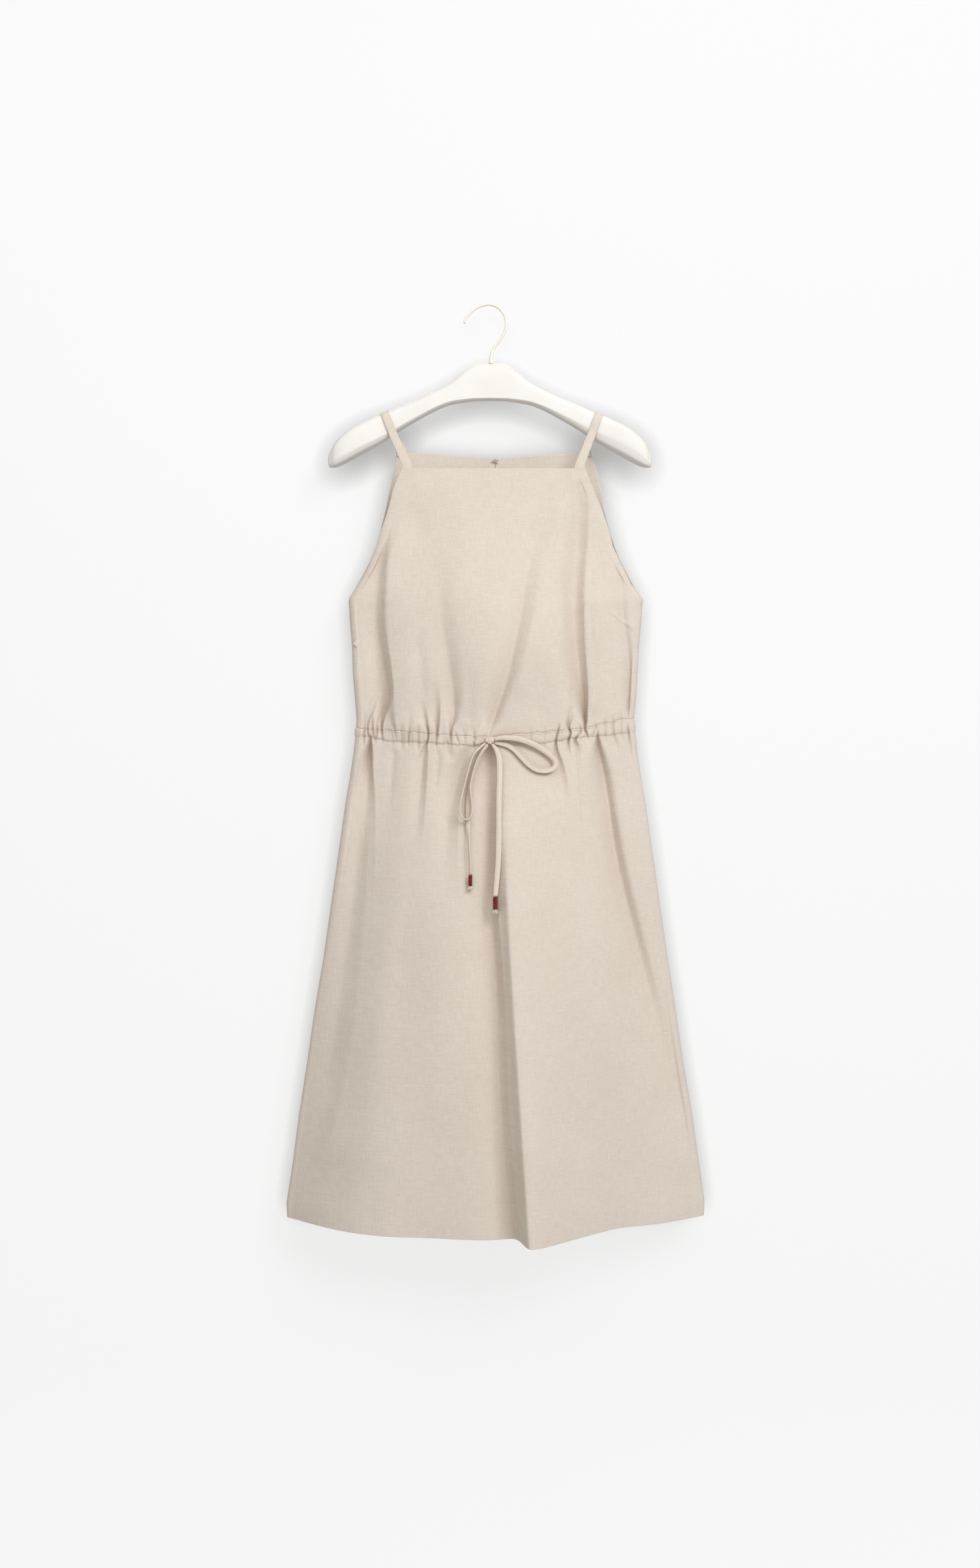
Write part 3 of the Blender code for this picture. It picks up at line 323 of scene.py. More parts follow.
# Pleats and folds that change along their way: name, whether the right side ends in a
# crisp ridge, and rows of drop, x, height, reach to the left and to the right
FRONT_PLEATS = [
    ("edge_first", False, [(558, -173, 0, 2, 2), (573, -174, -4, 1.4, 1.4), (586, -176, -3.6, 1.4, 1.5),
     (606, -179, 0, 2, 2)]),
    ("edge_second", False, [(550, -169, 0, 2, 2), (573, -169.5, -4.4, 1.4, 1.5), (586, -171, -3.6, 1.4, 1.4),
     (602, -172, 0, 2, 2)]),
    ("left_panel", True, [(490, -151, 0, 9, 7), (527, -154, -2.8, 9, 6), (550, -160, -4.2, 6, 4),
     (562, -164, -4.6, 3.4, 2.4), (573, -165.5, -5, 1.7, 1.5), (586, -164, -3, 1.5, 1.5),
     (596, -163, 0, 2, 2)]),
    ("left_small", False, [(554, -159.5, 0, 2, 2), (573, -159.6, -3.6, 1.4, 1.4), (586, -157, -3, 1.5, 1.5),
     (594, -155, 0, 2, 2)]),
    ("left_hook", False, [(554, -149, 0, 2, 2), (573, -152, -4.4, 1.5, 1.5), (586, -154, -3.2, 1.4, 1.4),
     (596, -158, 0, 2, 2)]),
    ("left_gutter", True, [(246, -126, 0, 16, 14), (296, -145, -2.4, 17, 14), (331, -149, -3.6, 18, 13),
     (374, -152, -5, 18, 13), (432, -153.5, -7, 18, 12), (469, -147, -9, 17, 11), (504, -140, -12, 17, 9),
     (530, -136.5, -13.5, 16, 7), (544, -139, -13, 12, 5), (556, -143.5, -11, 7, 3),
     (567, -145.5, -8.5, 3.4, 2), (577, -145.8, -6, 1.8, 1.5), (588, -145, -3, 1.5, 1.5),
     (596, -145, 0, 2, 2)]),
    ("left_curl", True, [(548, -135, 0, 5, 4), (567, -131, -2, 4, 3), (578, -127.8, -2.8, 1.5, 1.5),
     (591, -127, 0, 2, 2)]),
    ("left_upright", False, [(540, -107, 0, 5, 5), (565, -108, -1.6, 4, 4), (578, -109, -3, 1.5, 1.5),
     (591, -109.5, -3.6, 1.3, 1.3), (602, -110, 0, 2, 2)]),
    ("left_long", True, [(538, -92, 0, 7, 5), (558, -88, -2.6, 5, 4), (570, -84.8, -5, 2.6, 2.4),
     (580, -82.6, -6.5, 1.5, 1.5), (590, -83, -6, 1.5, 1.5), (598, -85.8, -5.6, 2.6, 2.4),
     (606, -88, -6, 5, 5), (615, -90, -6.5, 8, 7), (640, -92, -6.5, 10, 8), (675, -95, -4.5, 11, 9),
     (735, -100, 0, 12, 10)]),
    ("left_wedge", True, [(512, -74, 0, 9, 7), (540, -73, -3.6, 9, 7), (560, -71.5, -6, 6, 5),
     (573, -70.2, -6.5, 2.4, 2.2), (582, -70.6, -6, 1.5, 1.5), (592, -71.6, -4, 1.4, 1.4),
     (604, -72, 0, 2, 2)]),
    ("left_soft", False, [(340, -68, 0, 22, 15), (420, -64, -4, 22, 15), (476, -57, -6.5, 21, 13),
     (519, -50, -8, 18, 11), (548, -48, -8.5, 12, 7), (565, -49.5, -7.5, 6, 4), (575, -52.2, -6.5, 1.8, 1.7),
     (585, -52.6, -5.5, 1.5, 1.5), (594, -52.6, -3, 1.4, 1.4), (604, -52, 0, 2, 2)]),
    ("below_soft", False, [(586, -57, 0, 1.5, 1.5), (595, -57, -3, 1.5, 2.4), (607, -55.5, -3, 2.4, 5),
     (622, -52, 0, 4, 6)]),
    ("slanted", False, [(579, -47, 0, 1.4, 1.4), (588, -44.5, -2.6, 1.2, 1.4), (598, -40.5, 0, 1.6, 1.6)]),
    ("faint", False, [(576, -34, 0, 2, 2), (588, -34, -1.8, 1.4, 1.4), (600, -34, 0, 2, 2)]),
    ("hip_left", True, [(580, -161, 0, 1.6, 1.6), (588, -161.2, -6, 1.8, 1.7), (598, -161.8, -10, 4, 3),
     (612, -163, -12.5, 8, 5), (630, -164, -12, 12, 6), (655, -166, -8.5, 15, 10), (700, -168, -5, 18, 14),
     (780, -173, -2, 22, 18), (880, -180, 0, 26, 20)]),
    ("beside_loop", True, [(597, -27, 0, 10, 8), (618, -37, -8, 13, 10), (640, -43, -12, 17, 11),
     (664, -48, -12, 18, 12), (690, -54, -8, 18, 13), (740, -59, -3.5, 20, 17), (810, -60, 0, 22, 20)]),
    ("centre_valley", True, [(591, 0, 0, 8, 5), (602, 1, -9, 10, 6), (620, 0, -13, 15, 9),
     (650, -2, -14, 18, 11), (698, 3, -14, 21, 11), (760, 1, -14, 21, 11), (818, 0, -14, 21, 11),
     (882, 5, -13, 21, 11), (974, 10, -12.5, 21, 12), (1067, 13, -12.5, 22, 12),
     (1159, 20, -12.5, 23, 13), (1250, 30, -12.5, 25, 14)]),
    ("right_double", True, [(568, 93, 0, 2, 2), (577, 91.5, -4.2, 1.5, 1.5), (586, 89.2, -4.8, 1.5, 1.5),
     (594, 88, -5.5, 1.6, 1.7), (606, 88.5, -5.5, 3, 3.4), (625, 92, -5.5, 8, 7), (650, 95, -4.5, 10, 9),
     (700, 98, 0, 11, 11)]),
    ("right_hook", True, [(545, 109, 0, 5, 6), (562, 106.5, -4.4, 4, 5), (572, 104.6, -7, 1.9, 2.6),
     (581, 108, -6, 1.5, 1.5), (589, 105.6, -6, 1.5, 1.6), (597, 104.6, -4, 1.8, 2.2), (616, 105, 0, 4, 4)]),
    ("dart_pleat", False, [(567, 120, 0, 1.6, 1.6), (575, 121.2, -3, 1.4, 1.4), (582, 120, -3.6, 1.4, 1.4),
     (588, 115, -5.4, 1.5, 1.5), (593, 114, -6, 1.6, 2.4), (600, 116, -4.8, 1.4, 4),
     (612, 117.3, -3, 1.2, 4.4), (640, 119, -2.2, 1.1, 4.4), (664, 120.6, -1.8, 1.1, 4.4),
     (745, 127, 0, 1.3, 5)]),
    ("right_gutter", True, [(236, 116, 0, 16, 13), (267, 120, -4, 16, 13), (316, 119, -8, 19, 13),
     (388, 112.5, -11.5, 20, 13.5), (446, 113.5, -12.2, 20, 13), (504, 120.5, -13, 17, 10),
     (535, 125.5, -13.8, 12, 6.4), (556, 128, -13.5, 6, 3.2), (567, 128.6, -11, 3, 2),
     (575, 127.8, -7.5, 1.7, 1.5), (583, 130.4, -4, 1.4, 1.4), (591, 132, 0, 1.6, 1.6)]),
    ("right_curl", False, [(564, 140, 0, 1.6, 1.6), (574, 142, -2.4, 1.3, 1.3), (582, 139, -2.6, 1.3, 1.3),
     (590, 138, 0, 1.6, 1.6)]),
    ("right_sweep", False, [(573, 145, 0, 1.5, 1.5), (583, 144.6, -4, 1.5, 1.5), (592, 145, -8, 2.6, 2.6),
     (606, 147.5, -11, 7, 4.4), (628, 152, -13, 13, 6.4), (664, 158, -14, 18, 8.4), (744, 169, -14, 22, 10),
     (818, 185, -13.5, 24, 11), (905, 208, -11.5, 26, 13), (997, 231, -8, 28, 15), (1090, 253, -4.5, 28, 16),
     (1160, 270, 0, 26, 14)]),
    ("right_pleat", False, [(556, 166, 0, 3.4, 3.4), (567, 166, -2.6, 1.8, 1.8), (578, 166, -2.8, 1.6, 1.6),
     (590, 168, -2.8, 2.4, 3), (608, 172, 0, 5, 5)]),
    ("right_last", True, [(564, 186.5, 0, 2, 2), (576, 187, -4.2, 1.6, 1.6), (587, 188.8, -4.6, 2, 2),
     (604, 192.5, -3.4, 3, 2.8), (626, 199, 0, 4, 3)]),
    ("right_tuck", False, [(543, 190, 0, 2.4, 2), (556, 191, -3.4, 1.8, 1.6), (566, 192, -2.6, 1.5, 1.5),
     (575, 192, 0, 1.6, 1.6)]),
    ("right_edge", False, [(326, 172, 0, 8, 5), (359, 175, -2, 8, 5), (417, 180, -3.6, 9, 5),
     (475, 187, -5.4, 9, 4.4), (530, 188, -6, 9, 4.4), (556, 189.6, -5, 5, 2.8), (569, 191, 0, 2.4, 2)]),
    ("bow_diagonal", False, [(232, 101, 0, 16, 12), (281, 80, -2.6, 18, 12), (319, 62, -4.2, 19, 12),
     (388, 46, -7, 20, 11), (446, 36.5, -9.5, 19, 10), (518, 19.5, -12.5, 17, 9), (550, 9, -12, 13, 8),
     (568, 2.5, -9, 8, 7), (580, -1, -4, 4, 4), (590, -3, 0, 3, 3)]),
]
BACK_PLEATS = [
    ("seat_left", False, [(548, -103, 0, 5, 5), (572, -107, -3.8, 2, 2), (588, -109, -4.2, 1.6, 1.6),
     (600, -110, -5, 3, 3), (625, -112, -7, 8, 10), (700, -118, -9, 13, 18), (900, -135, -12, 16, 24),
     (1250, -165, -14, 18, 26)]),
    ("seat_centre", False, [(544, -25, 0, 6, 5), (572, -28, -3.8, 2, 2), (588, -29, -4, 1.6, 1.6),
     (602, -30, -4.6, 3, 3), (630, -31, -6, 10, 7), (720, -34, -8, 17, 11), (900, -40, -10.5, 22, 14),
     (1250, -52, -12, 24, 16)]),
    ("seat_right", False, [(540, 56, 0, 6, 6), (570, 59, -4, 2, 2), (586, 60, -4.2, 1.6, 1.6),
     (600, 60.5, -4.8, 3, 4), (628, 62, -6.4, 8, 10), (720, 66, -8.6, 12, 18), (900, 75, -11, 16, 24),
     (1250, 88, -13, 18, 26)]),
    ("seat_edge", False, [(546, 130, 0, 5, 5), (566, 133, -3.4, 2, 2), (584, 134, -3.8, 1.6, 1.6),
     (597, 136, -4.6, 3, 3), (622, 139, -6, 7, 7), (720, 149, -7.4, 12, 11), (900, 170, -8.4, 16, 14),
     (1250, 205, -9, 18, 16)]),
]
PLEAT_POWER = 1.6
CRISP_POWER = 1.5
GATHER_DEEPER = 1.7
GATHER_REACH = 1.7
GATHER_SPREAD = 0.085
GATHER_POWER = 1.3
# How far the casing's seams are pulled together at a gather, and their small waves: height,
# pitch, phase
SEAM_PULL = {1: 1.7, 2: -0.9}
SEAM_PULL_REACH = 4.4
SEAM_PULL_DEPTH = 5.0
SEAM_WAVES = [(0.45, 23.0, 0.6), (0.3, 9.7, 2.2)]
# Small ripples beside the gathered seams: pitch, height, phase; and how gathered each place is
RIPPLES = [(8.7, 0.22, 0.4), (5.3, 0.16, 2.1), (13.9, 0.24, 4.4)]
RIPPLE_LENGTH = 9.0
GATHERED = [(-195, 1.0), (-130, 0.8), (-15, 0.8), (14, 0.15), (78, 0.15), (92, 0.9), (200, 0.6)]

# Finer creases: name, path as (x, drop), height, reach left of a falling path or below one that
# runs right, reach on its other side, length of the fade at the start and the end
FRONT_CREASES = [
    ("left_rise", [(-176, 470), (-172, 520), (-172, 566)], -1.6, 5, 4, 40, 8),
    ("chest_left", [(-118, 262), (-96, 300), (-86, 345)], -1.2, 14, 12, 40, 40),
    ("chest_middle", [(-40, 250), (-30, 300), (-34, 370)], 1.2, 22, 26, 40, 60),
    ("soft_side", [(-30, 470), (-27, 520), (-29, 570)], -1.4, 9, 8, 50, 10),
    ("soft_left", [(-98, 430), (-92, 500), (-88, 572)], -1.6, 10, 8, 60, 10),
    ("diagonal_lip", [(76, 340), (62, 410), (50, 470), (34, 535)], 1.8, 6, 15, 50, 26),
    ("belly_right", [(62, 470), (66, 520), (62, 566)], -1.1, 10, 9, 50, 16),
    ("right_crest_line", [(103, 500), (104, 535), (104, 568)], 0.9, 2.4, 4, 30, 8),
    ("right_gutter_lip", [(137, 330), (130, 400), (133, 455), (137, 510), (140, 560)], 3.0, 5, 9, 50, 20),
    ("right_panel", [(152, 440), (160, 500), (164, 556)], -1.3, 9, 8, 50, 20),
    ("underarm_pinch", [(173, 402), (175, 414), (177, 430)], -1.2, 2.6, 3.0, 8, 9),
    ("neck_pull_left", [(-112, 229), (-98, 246), (-90, 272)], 0.9, 6, 8, 8, 30),
    ("neck_pull_right", [(121, 230), (112, 250), (98, 286)], 1.2, 7, 6, 8, 40),
    ("hip_plateau", [(-157, 650), (-163, 790), (-174, 930), (-196, 1070), (-234, 1180)],
     3.6, 12, 44, 90, 70),
    ("hip_slope", [(-176, 660), (-186, 800), (-204, 940), (-226, 1080)], -2.6, 24, 12, 90, 90),
    ("waist_left", [(-129, 600), (-132, 640), (-137, 690)], -1.8, 6, 5, 8, 50),
    ("between_left", [(-69, 602), (-71, 640), (-77, 676)], -1.8, 5, 4, 8, 40),
    ("centre_lip", [(22, 640), (24, 700), (28, 880), (36, 1000), (43, 1110), (52, 1243)], 1.5, 6, 20, 50, 0),
    ("sweep_lip", [(163, 640), (173, 700), (187, 770), (205, 840), (229, 930), (252, 1010)],
     2.6, 6, 16, 60, 120),
    ("soft_right", [(122, 640), (128, 720), (138, 815), (164, 930), (205, 1044)], -1.6, 20, 26, 70, 90),
    ("thigh_left", [(-110, 760), (-116, 900), (-124, 1040)], -2.0, 24, 22, 120, 120),
    ("thigh_mid", [(-60, 800), (-66, 960), (-72, 1120)], 2.0, 20, 26, 120, 90),
    ("thigh_right", [(96, 860), (110, 1000), (128, 1160)], -1.8, 28, 22, 130, 60),
    ("hem_left", [(-150, 1120), (-158, 1200), (-162, 1240)], -1.8, 18, 18, 80, 0),
    ("hem_right", [(170, 1130), (182, 1195), (190, 1238)], 1.6, 22, 16, 80, 0),
]
BACK_CREASES = [
    ("nape_left", [(-20, 212), (-40, 240), (-60, 286)], -0.7, 8, 10, 14, 40),
    ("nape_right", [(34, 212), (54, 242), (70, 290)], -0.7, 10, 8, 14, 40),
    ("blade_core_left", [(-98, 360), (-104, 430), (-110, 500), (-112, 566)], -1.6, 6, 5, 60, 6),
    ("blade_core_right", [(112, 350), (115, 430), (118, 566)], -1.5, 5, 7, 60, 6),
    ("loin_core_left", [(-47, 470), (-50, 520), (-52, 570)], -1.2, 5, 5, 40, 5),
    ("loin_core_right", [(61, 460), (62, 520), (58, 568)], -1.3, 5, 6, 40, 5),
    ("side_left", [(-160, 440), (-158, 500), (-150, 568)], -1.2, 7, 8, 50, 8),
    ("side_right", [(170, 440), (168, 500), (164, 560)], -1.1, 8, 7, 50, 8),
    ("seat_core_left", [(-112, 610), (-124, 800), (-142, 1000), (-166, 1235)], -1.9, 9, 7, 60, 0),
    ("seat_lip_left", [(-96, 640), (-106, 820), (-120, 1010), (-140, 1235)], 1.2, 10, 14, 80, 0),
    ("seat_core_centre", [(-31, 606), (-37, 800), (-44, 1010), (-52, 1235)], -1.8, 7, 8, 60, 0),
    ("seat_lip_centre", [(-14, 660), (-18, 860), (-22, 1050), (-26, 1235)], 1.0, 9, 14, 80, 0),
    ("seat_core_right", [(61, 606), (70, 800), (80, 1010), (88, 1235)], -1.9, 8, 9, 60, 0),
    ("seat_core_edge", [(136, 604), (158, 800), (182, 1000), (205, 1236)], -1.6, 8, 7, 60, 0),
    ("thigh_back_left", [(-76, 760), (-84, 900), (-92, 1040)], -1.0, 14, 16, 90, 90),
    ("thigh_back_right", [(112, 700), (124, 860), (136, 1000)], -1.1, 16, 14, 90, 90),
    ("waist_back_left", [(-130, 596), (-134, 640), (-140, 690)], -1.1, 6, 6, 6, 50),
    ("waist_back_mid", [(-60, 594), (-62, 640), (-66, 700)], -1.1, 6, 6, 6, 60),
    ("waist_back_right", [(94, 592), (97, 640), (102, 700)], -1.2, 6, 6, 6, 60),
]
# Dart seams: name, path as (x, drop), height of the welt above the seam
DARTS = [
    ("dart_right_outer", [(162, 418), (178, 430), (194, 441)], 0.45),
    ("dart_left", [(-182, 463), (-170, 452), (-155, 436)], 0.3),
]
DART_WIDTH = 5.0
DART_STEPS = 26
DART_CLOTH = 0.25
DART_SUNK = 0.1
# Section of a dart: place across it and lift, as shares
DART_ACROSS = np.array((-1.0, -0.62, -0.25, -0.06, 0.04, 0.16, 0.4))
DART_LIFT = np.array((-0.35, 0.45, 0.9, 1.0, 0.55, -0.2, -0.6))
# A path gets this many steps for each of its points, and a crease ends this many reaches off
PATH_STEPS = 6
CREASE_MARGIN = 3.2

# Hanger body, half of it: x, drop of the top, of the front's lower edge and of the underside,
# reach to the front and to the back
HANGER_SECTIONS = [
    (0, 79, 127.5, 129, 11, 11), (19, 79, 127.8, 129.5, 11, 11), (25, 81.5, 128, 130, 11, 11),
    (39, 92.5, 129.5, 132, 11.5, 11.5), (55, 105.5, 132.5, 135, 12, 12),
    (74, 116, 140, 142.5, 12.5, 12.5), (99, 127.5, 153, 156, 13, 13), (121, 136.5, 165.5, 169, 14, 14.5),
    (138, 144.5, 175.5, 181, 15, 16), (161, 154, 187, 194, 17, 19), (183, 164.5, 198, 206, 18.5, 21),
    (199, 175.5, 206.5, 214.5, 17.5, 20.5), (210, 187, 212.5, 219, 14.5, 17),
    (217, 200, 215.5, 219.5, 8.5, 10),
]
HANGER_END = (219.5, 209)
# Outline across the bar from the crown forwards: share of the reach, share of the way down to the
# front's lower edge, share of the way from there to the underside
HANGER_PROFILE = [
    (0, 0, 0), (-0.6, 0.05, 0), (-0.93, 0.22, 0), (-1, 0.58, 0), (-0.985, 0.93, 0), (-0.97, 1, 0),
    (-0.94, 1, 0.2), (-0.68, 1, 0.9), (0.1, 1, 1), (0.78, 0.9, 1), (1, 0.64, 1), (0.98, 0.45, 0),
    (0.8, 0.16, 0), (0.42, 0.03, 0),
]
# The lower edge of the front face is higher on the right arm: x, rise
HANGER_RISE_RIGHT = [(0, 0), (60, 0), (100, 2), (140, 4.5), (187, 8), (205, 6), (217, 0)]
HANGER_SPAN_POINTS = 4
HANGER_STEPS = 120
# Size of the outline's shares, millimetres, for even points round the bar
HANGER_SPREAD = (12, 48, 2.5)
# Share of rings that crowd towards the ends, and rings of the rounded ends
HANGER_CROWDED = 0.45
HANGER_CAPS = (0.35, 0.65, 0.87, 0.98)
HOOK_WIRE = 3.5
# Hook from the bar upwards: x, drop, share of the wire's radius
HOOK_ROUTE = [
    (1.3, 78.5, 1.7), (1.8, 72, 1.6), (3.0, 63, 1.25), (6.5, 56, 1.0), (11.5, 49.5, 1.0),
    (17, 41, 1.0), (20.8, 32, 1.0), (21.8, 22.5, 1.0), (19.6, 13, 1.0), (14.6, 5.6, 1.0),
    (7.6, 0.2, 1.0), (-1.2, -1.75, 1.0), (-11, -0.4, 1.0), (-20.4, 4.2, 1.0), (-28.4, 11.2, 1.0),
    (-33.4, 18.4, 1.0), (-34.6, 24, 1.0),
]

# Straps: name, x at the front corner, on the hanger and at the back corner
STRAPS = [("strap_left", -111.4, -143, -121), ("strap_right", 121, 147.5, 131)]
STRAP_CORNER_WIDTH = 13.6
STRAP_TOP_WIDTH = 10.0
STRAP_CLEARANCE = 0.75
STRAP_END_SHARE = 0.04
STRAP_TUCK = 6.0
# Drop below the neck's edge of the strap's last three rows, from its end upwards
STRAP_END_ROWS = (STRAP_TUCK, -0.5, -5.0)
# Points of the bar's outline that a strap passes, from its front to its back
STRAP_OVER_BAR = (4, 3, 2, 1, 0, 13, 12, 11, 10)
BAR_CROWN, BAR_FRONT, BAR_BACK = 0, 3, 11

# Drawstring: x, drop, distance in front of the skirt, width, turn in degrees
TIE_STUB = [(-20, 594.5, -0.2, 5.5, 0), (-14, 593.4, 0.6, 5.5, 0), (-7.2, 591.4, 2.4, 4, 0)]
TIE_LOOP_RIGHT = [
    (6.1, 590.4, 3.2, 4, 0), (11.5, 588.8, 4.6, 5.5, 0), (19.7, 587.8, 6.2, 6.5, 0),
    (37.8, 589.6, 7.0, 7, 0), (55.8, 595.6, 6.8, 7, 0), (68, 602.4, 6.4, 7, 0),
    (79.8, 611, 6.0, 6.5, 0), (87.2, 620, 5.6, 5, 0), (84.6, 628, 5.0, 5.5, 0),
    (76, 631.6, 4.6, 6.5, 0), (63.5, 630.6, 4.4, 7, 0), (53, 624.8, 4.2, 7, 0),
    (43.6, 615.6, 4.0, 7, 0), (34, 605.4, 3.6, 6.5, 0), (24.6, 599, 2.8, 6, 0),
    (14.6, 596.2, 1.8, 5, 0), (5.6, 594.6, 0.9, 4, 0),
]
TIE_LOOP_LEFT = [
    (-6.1, 595.2, 3.4, 3.2, 35), (-12.8, 600.6, 6.6, 4.4, 55), (-20.6, 608.6, 8.4, 5, 68),
    (-25.4, 618, 8.8, 5, 72), (-29.2, 632, 8.4, 5, 74), (-32.6, 645, 8.2, 5, 76),
    (-36.4, 661, 8.0, 5, 78), (-39.8, 677, 8.0, 5, 80), (-39.4, 688, 8.0, 5, 82),
    (-34.6, 695, 8.0, 5, 84), (-28, 695.6, 8.0, 5, 86), (-23.8, 689, 8.0, 5, 84),
    (-23.2, 677, 8.0, 5, 82), (-24.8, 664, 8.0, 5, 80), (-25.6, 652, 8.2, 5, 78),
    (-22.6, 637, 8.6, 5, 76), (-17.6, 621, 9.2, 5, 72), (-10.6, 607.4, 9.2, 4.5, 60),
    (-6.2, 600.8, 7.6, 3.6, 48), (-3.3, 597.2, 5.3, 3.0, 30),
]
TIE_TAIL_LEFT = [
    (-2.9, 597.5, 0.8, 3.4, 0), (-5.6, 600.7, 1.5, 4, 0), (-11, 607, 2.2, 5, 0), (-18, 622, 2.2, 5, 0),
    (-24.6, 643, 2.2, 5, 0), (-28, 666, 2.2, 5.5, 0), (-29, 696, 2.4, 6, 8), (-28.2, 726, 4.4, 6, 66),
    (-26.8, 750, 4.4, 6, 62), (-25.8, 767.6, 4.4, 5, 55),
]
TIE_TAIL_RIGHT = [
    (2.7, 596.5, 3.7, 3.4, 0), (7.6, 602.6, 4.2, 5.4, 0), (12, 614, 4.8, 7, 0), (13, 637, 5.4, 7, 0),
    (12.2, 661, 5.6, 7, 0), (12, 690, 5.6, 7, 0), (11.6, 724, 5.6, 7, 0), (10.6, 756, 5.8, 7, 0),
    (8.2, 784, 6.4, 6.5, 0), (7, 796, 7.0, 5.5, 0),
]
# Sections of the folded tie and straps, anticlockwise: share of the width, share of the
# thickness. The tie's notch is the line where its two edges meet.
TIE_SECTION = [
    (-0.5, 0.0), (-0.495, -0.3), (-0.47, -0.46), (-0.2, -0.42), (0.1, -0.44), (0.26, -0.5),
    (0.3, -0.08), (0.34, -0.5), (0.42, -0.52), (0.48, -0.42), (0.5, -0.1), (0.49, 0.36),
    (0.45, 0.48), (0.0, 0.46), (-0.45, 0.48), (-0.49, 0.34),
]
STRAP_SECTION = [
    (-0.5, 0.0), (-0.49, -0.32), (-0.45, -0.5), (-0.4, -0.46), (-0.37, -0.3), (-0.34, -0.44),
    (-0.15, -0.4), (0.15, -0.4), (0.34, -0.44), (0.37, -0.3), (0.4, -0.46), (0.45, -0.5), (0.49, -0.32),
    (0.5, 0.0), (0.47, 0.4), (0.42, 0.5), (0.0, 0.46), (-0.42, 0.5), (-0.47, 0.4),
]
# Knot: x, drop and distance in front of the skirt; width, height and depth
KNOT_CENTRE = (-0.6, 591.4, 4.3)
KNOT_SIZE = (12.4, 10.6, 8.6)
KNOT_AROUND = 72
KNOT_RINGS = 48
# Creases round the knot: place along it, depth, width, drift on the way round
KNOT_CREASES = [(-0.42, 0.16, 0.12, 0.16), (0.36, 0.2, 0.11, -0.2), (-0.02, 0.07, 0.07, 0.26)]
# Whipped ends: name, end of the tie, length of the whipping, its diameter, length of the tuft
WHIPPINGS = [
    ("left", TIE_TAIL_LEFT[-1], 15.5, 5.4, 4.0),
    ("right", TIE_TAIL_RIGHT[-1], 17.0, 6.4, 5.0),
]
WHIPPING_GAP = 0.7
THREAD = 0.95
TURN_STEPS = 14
# Unevenness of the turns: height, frequency
WOBBLE = [(0.05, 0.37), (0.03, 1.31)]
WHIPPING_TAPER = 0.25
CORE_INSET = 0.4
TUFT_STRANDS = 70
TUFT_RADII = np.array((0.3, 0.3, 0.28, 0.24, 0.12))
# The tuft starts this far inside the whipping
TUFT_HIDDEN = 1.2
# Seeds of the uneven places
TUFT_SEED = 31
STITCH_SEED = 5
NECK_SEED = 9

# Stitches: length, distance from one to the next, thickness of the thread
STITCH_LENGTH = 2.1
STITCH_PITCH = 3.0
STITCH_THICK = 0.42
STITCH_START = -172
STITCH_END = 186
# Rows of casing stitches: name, the casing's line they follow, distance below it
STITCH_ROWS = [("lower", 2, -1.7), ("upper", 1, 1.6)]
NECK_STITCH_PLACES = np.arange(16.0, 112.0, 4.6)
NECK_STITCH_LENGTH = 1.6
NECK_STITCH_DROP = 2.6

# Fastener inside the back neck: x from the centre back, drop, distance inside the cloth
EYE_ROUTE = [
    (3.8, 205.8, 1.1), (1.4, 206.4, 1.1), (-0.6, 207.6, 1.1), (-0.6, 208.8, 1.1), (1.4, 210, 1.1),
    (3.8, 210.6, 1.1),
]
DRESS_HOOK_ROUTE = [
    (-6.2, 208.4, 1.1), (-4, 208.3, 1.1), (-2.2, 208.2, 2.2), (-0.2, 208.2, 3.0), (2.2, 208.2, 2.8),
]
CLOSURE_THREADS = [
    ((-3.4, 206.2), (3.6, 210.4)), ((-3.4, 210.4), (3.6, 206.2)), ((-3.0, 207.4), (3.0, 209.4)),
]
FASTENER_RADIUS = 0.4
CLOSURE_RADIUS = 0.28

# Flat cuts of what shows, metres and square metres
BODICE_FRONT_FLAT, BODICE_FRONT_AREA = (0.47, 0.38), 0.145
BODICE_BACK_FLAT, BODICE_BACK_AREA = (0.23, 0.39), 0.07
CASING_FLAT = (0.46, 0.016)
SKIRT_FLAT, SKIRT_AREA = (0.7, 0.66), 0.38
STRAP_FLAT = (0.0136, 0.17)

# Colours, linear
LINEN_LIGHT = (0.735, 0.66, 0.59)
LINEN_DARK = (0.645, 0.57, 0.5)
# Painted shade deep in the folds: the colour that the cloth is multiplied by where nearby cloth hems it in, and how
# far off the cloth counts, metres
FOLD_PAINTED_SHADE = (0.82, 0.765, 0.715)
FOLD_SHADE_REACH = 0.026
TIE_LIGHT = (0.765, 0.69, 0.61)
TIE_DARK = (0.68, 0.6, 0.52)
THREAD_LIGHT = (0.66, 0.6, 0.53)
THREAD_DARK = (0.5, 0.44, 0.38)
RED_LIGHT = (0.29, 0.04, 0.045)
RED_DARK = (0.12, 0.012, 0.016)
TUFT_LIGHT = (0.86, 0.8, 0.7)
TUFT_DARK = (0.66, 0.58, 0.47)
HANGER_LIGHT = (0.845, 0.82, 0.795)
HANGER_DARK = (0.795, 0.765, 0.73)
WIRE_LIGHT = (0.9, 0.87, 0.78)
WIRE_DARK = (0.8, 0.76, 0.66)
BACKDROP = (0.17, 0.172, 0.175)
BACKDROP_PATCHES = 0.985
# The wall glows evenly, with a painted shadow where the glow fades close to the dress: strength, how near in metres,
# how steeply
BACKDROP_GLOW = 0.765
BACKDROP_SHADOW_REACH = 0.045
BACKDROP_SHADOW_FADE = 1.6

# Weave: distance between threads, metres
WARP_PITCH = 0.00068
WEFT_PITCH = 0.00074

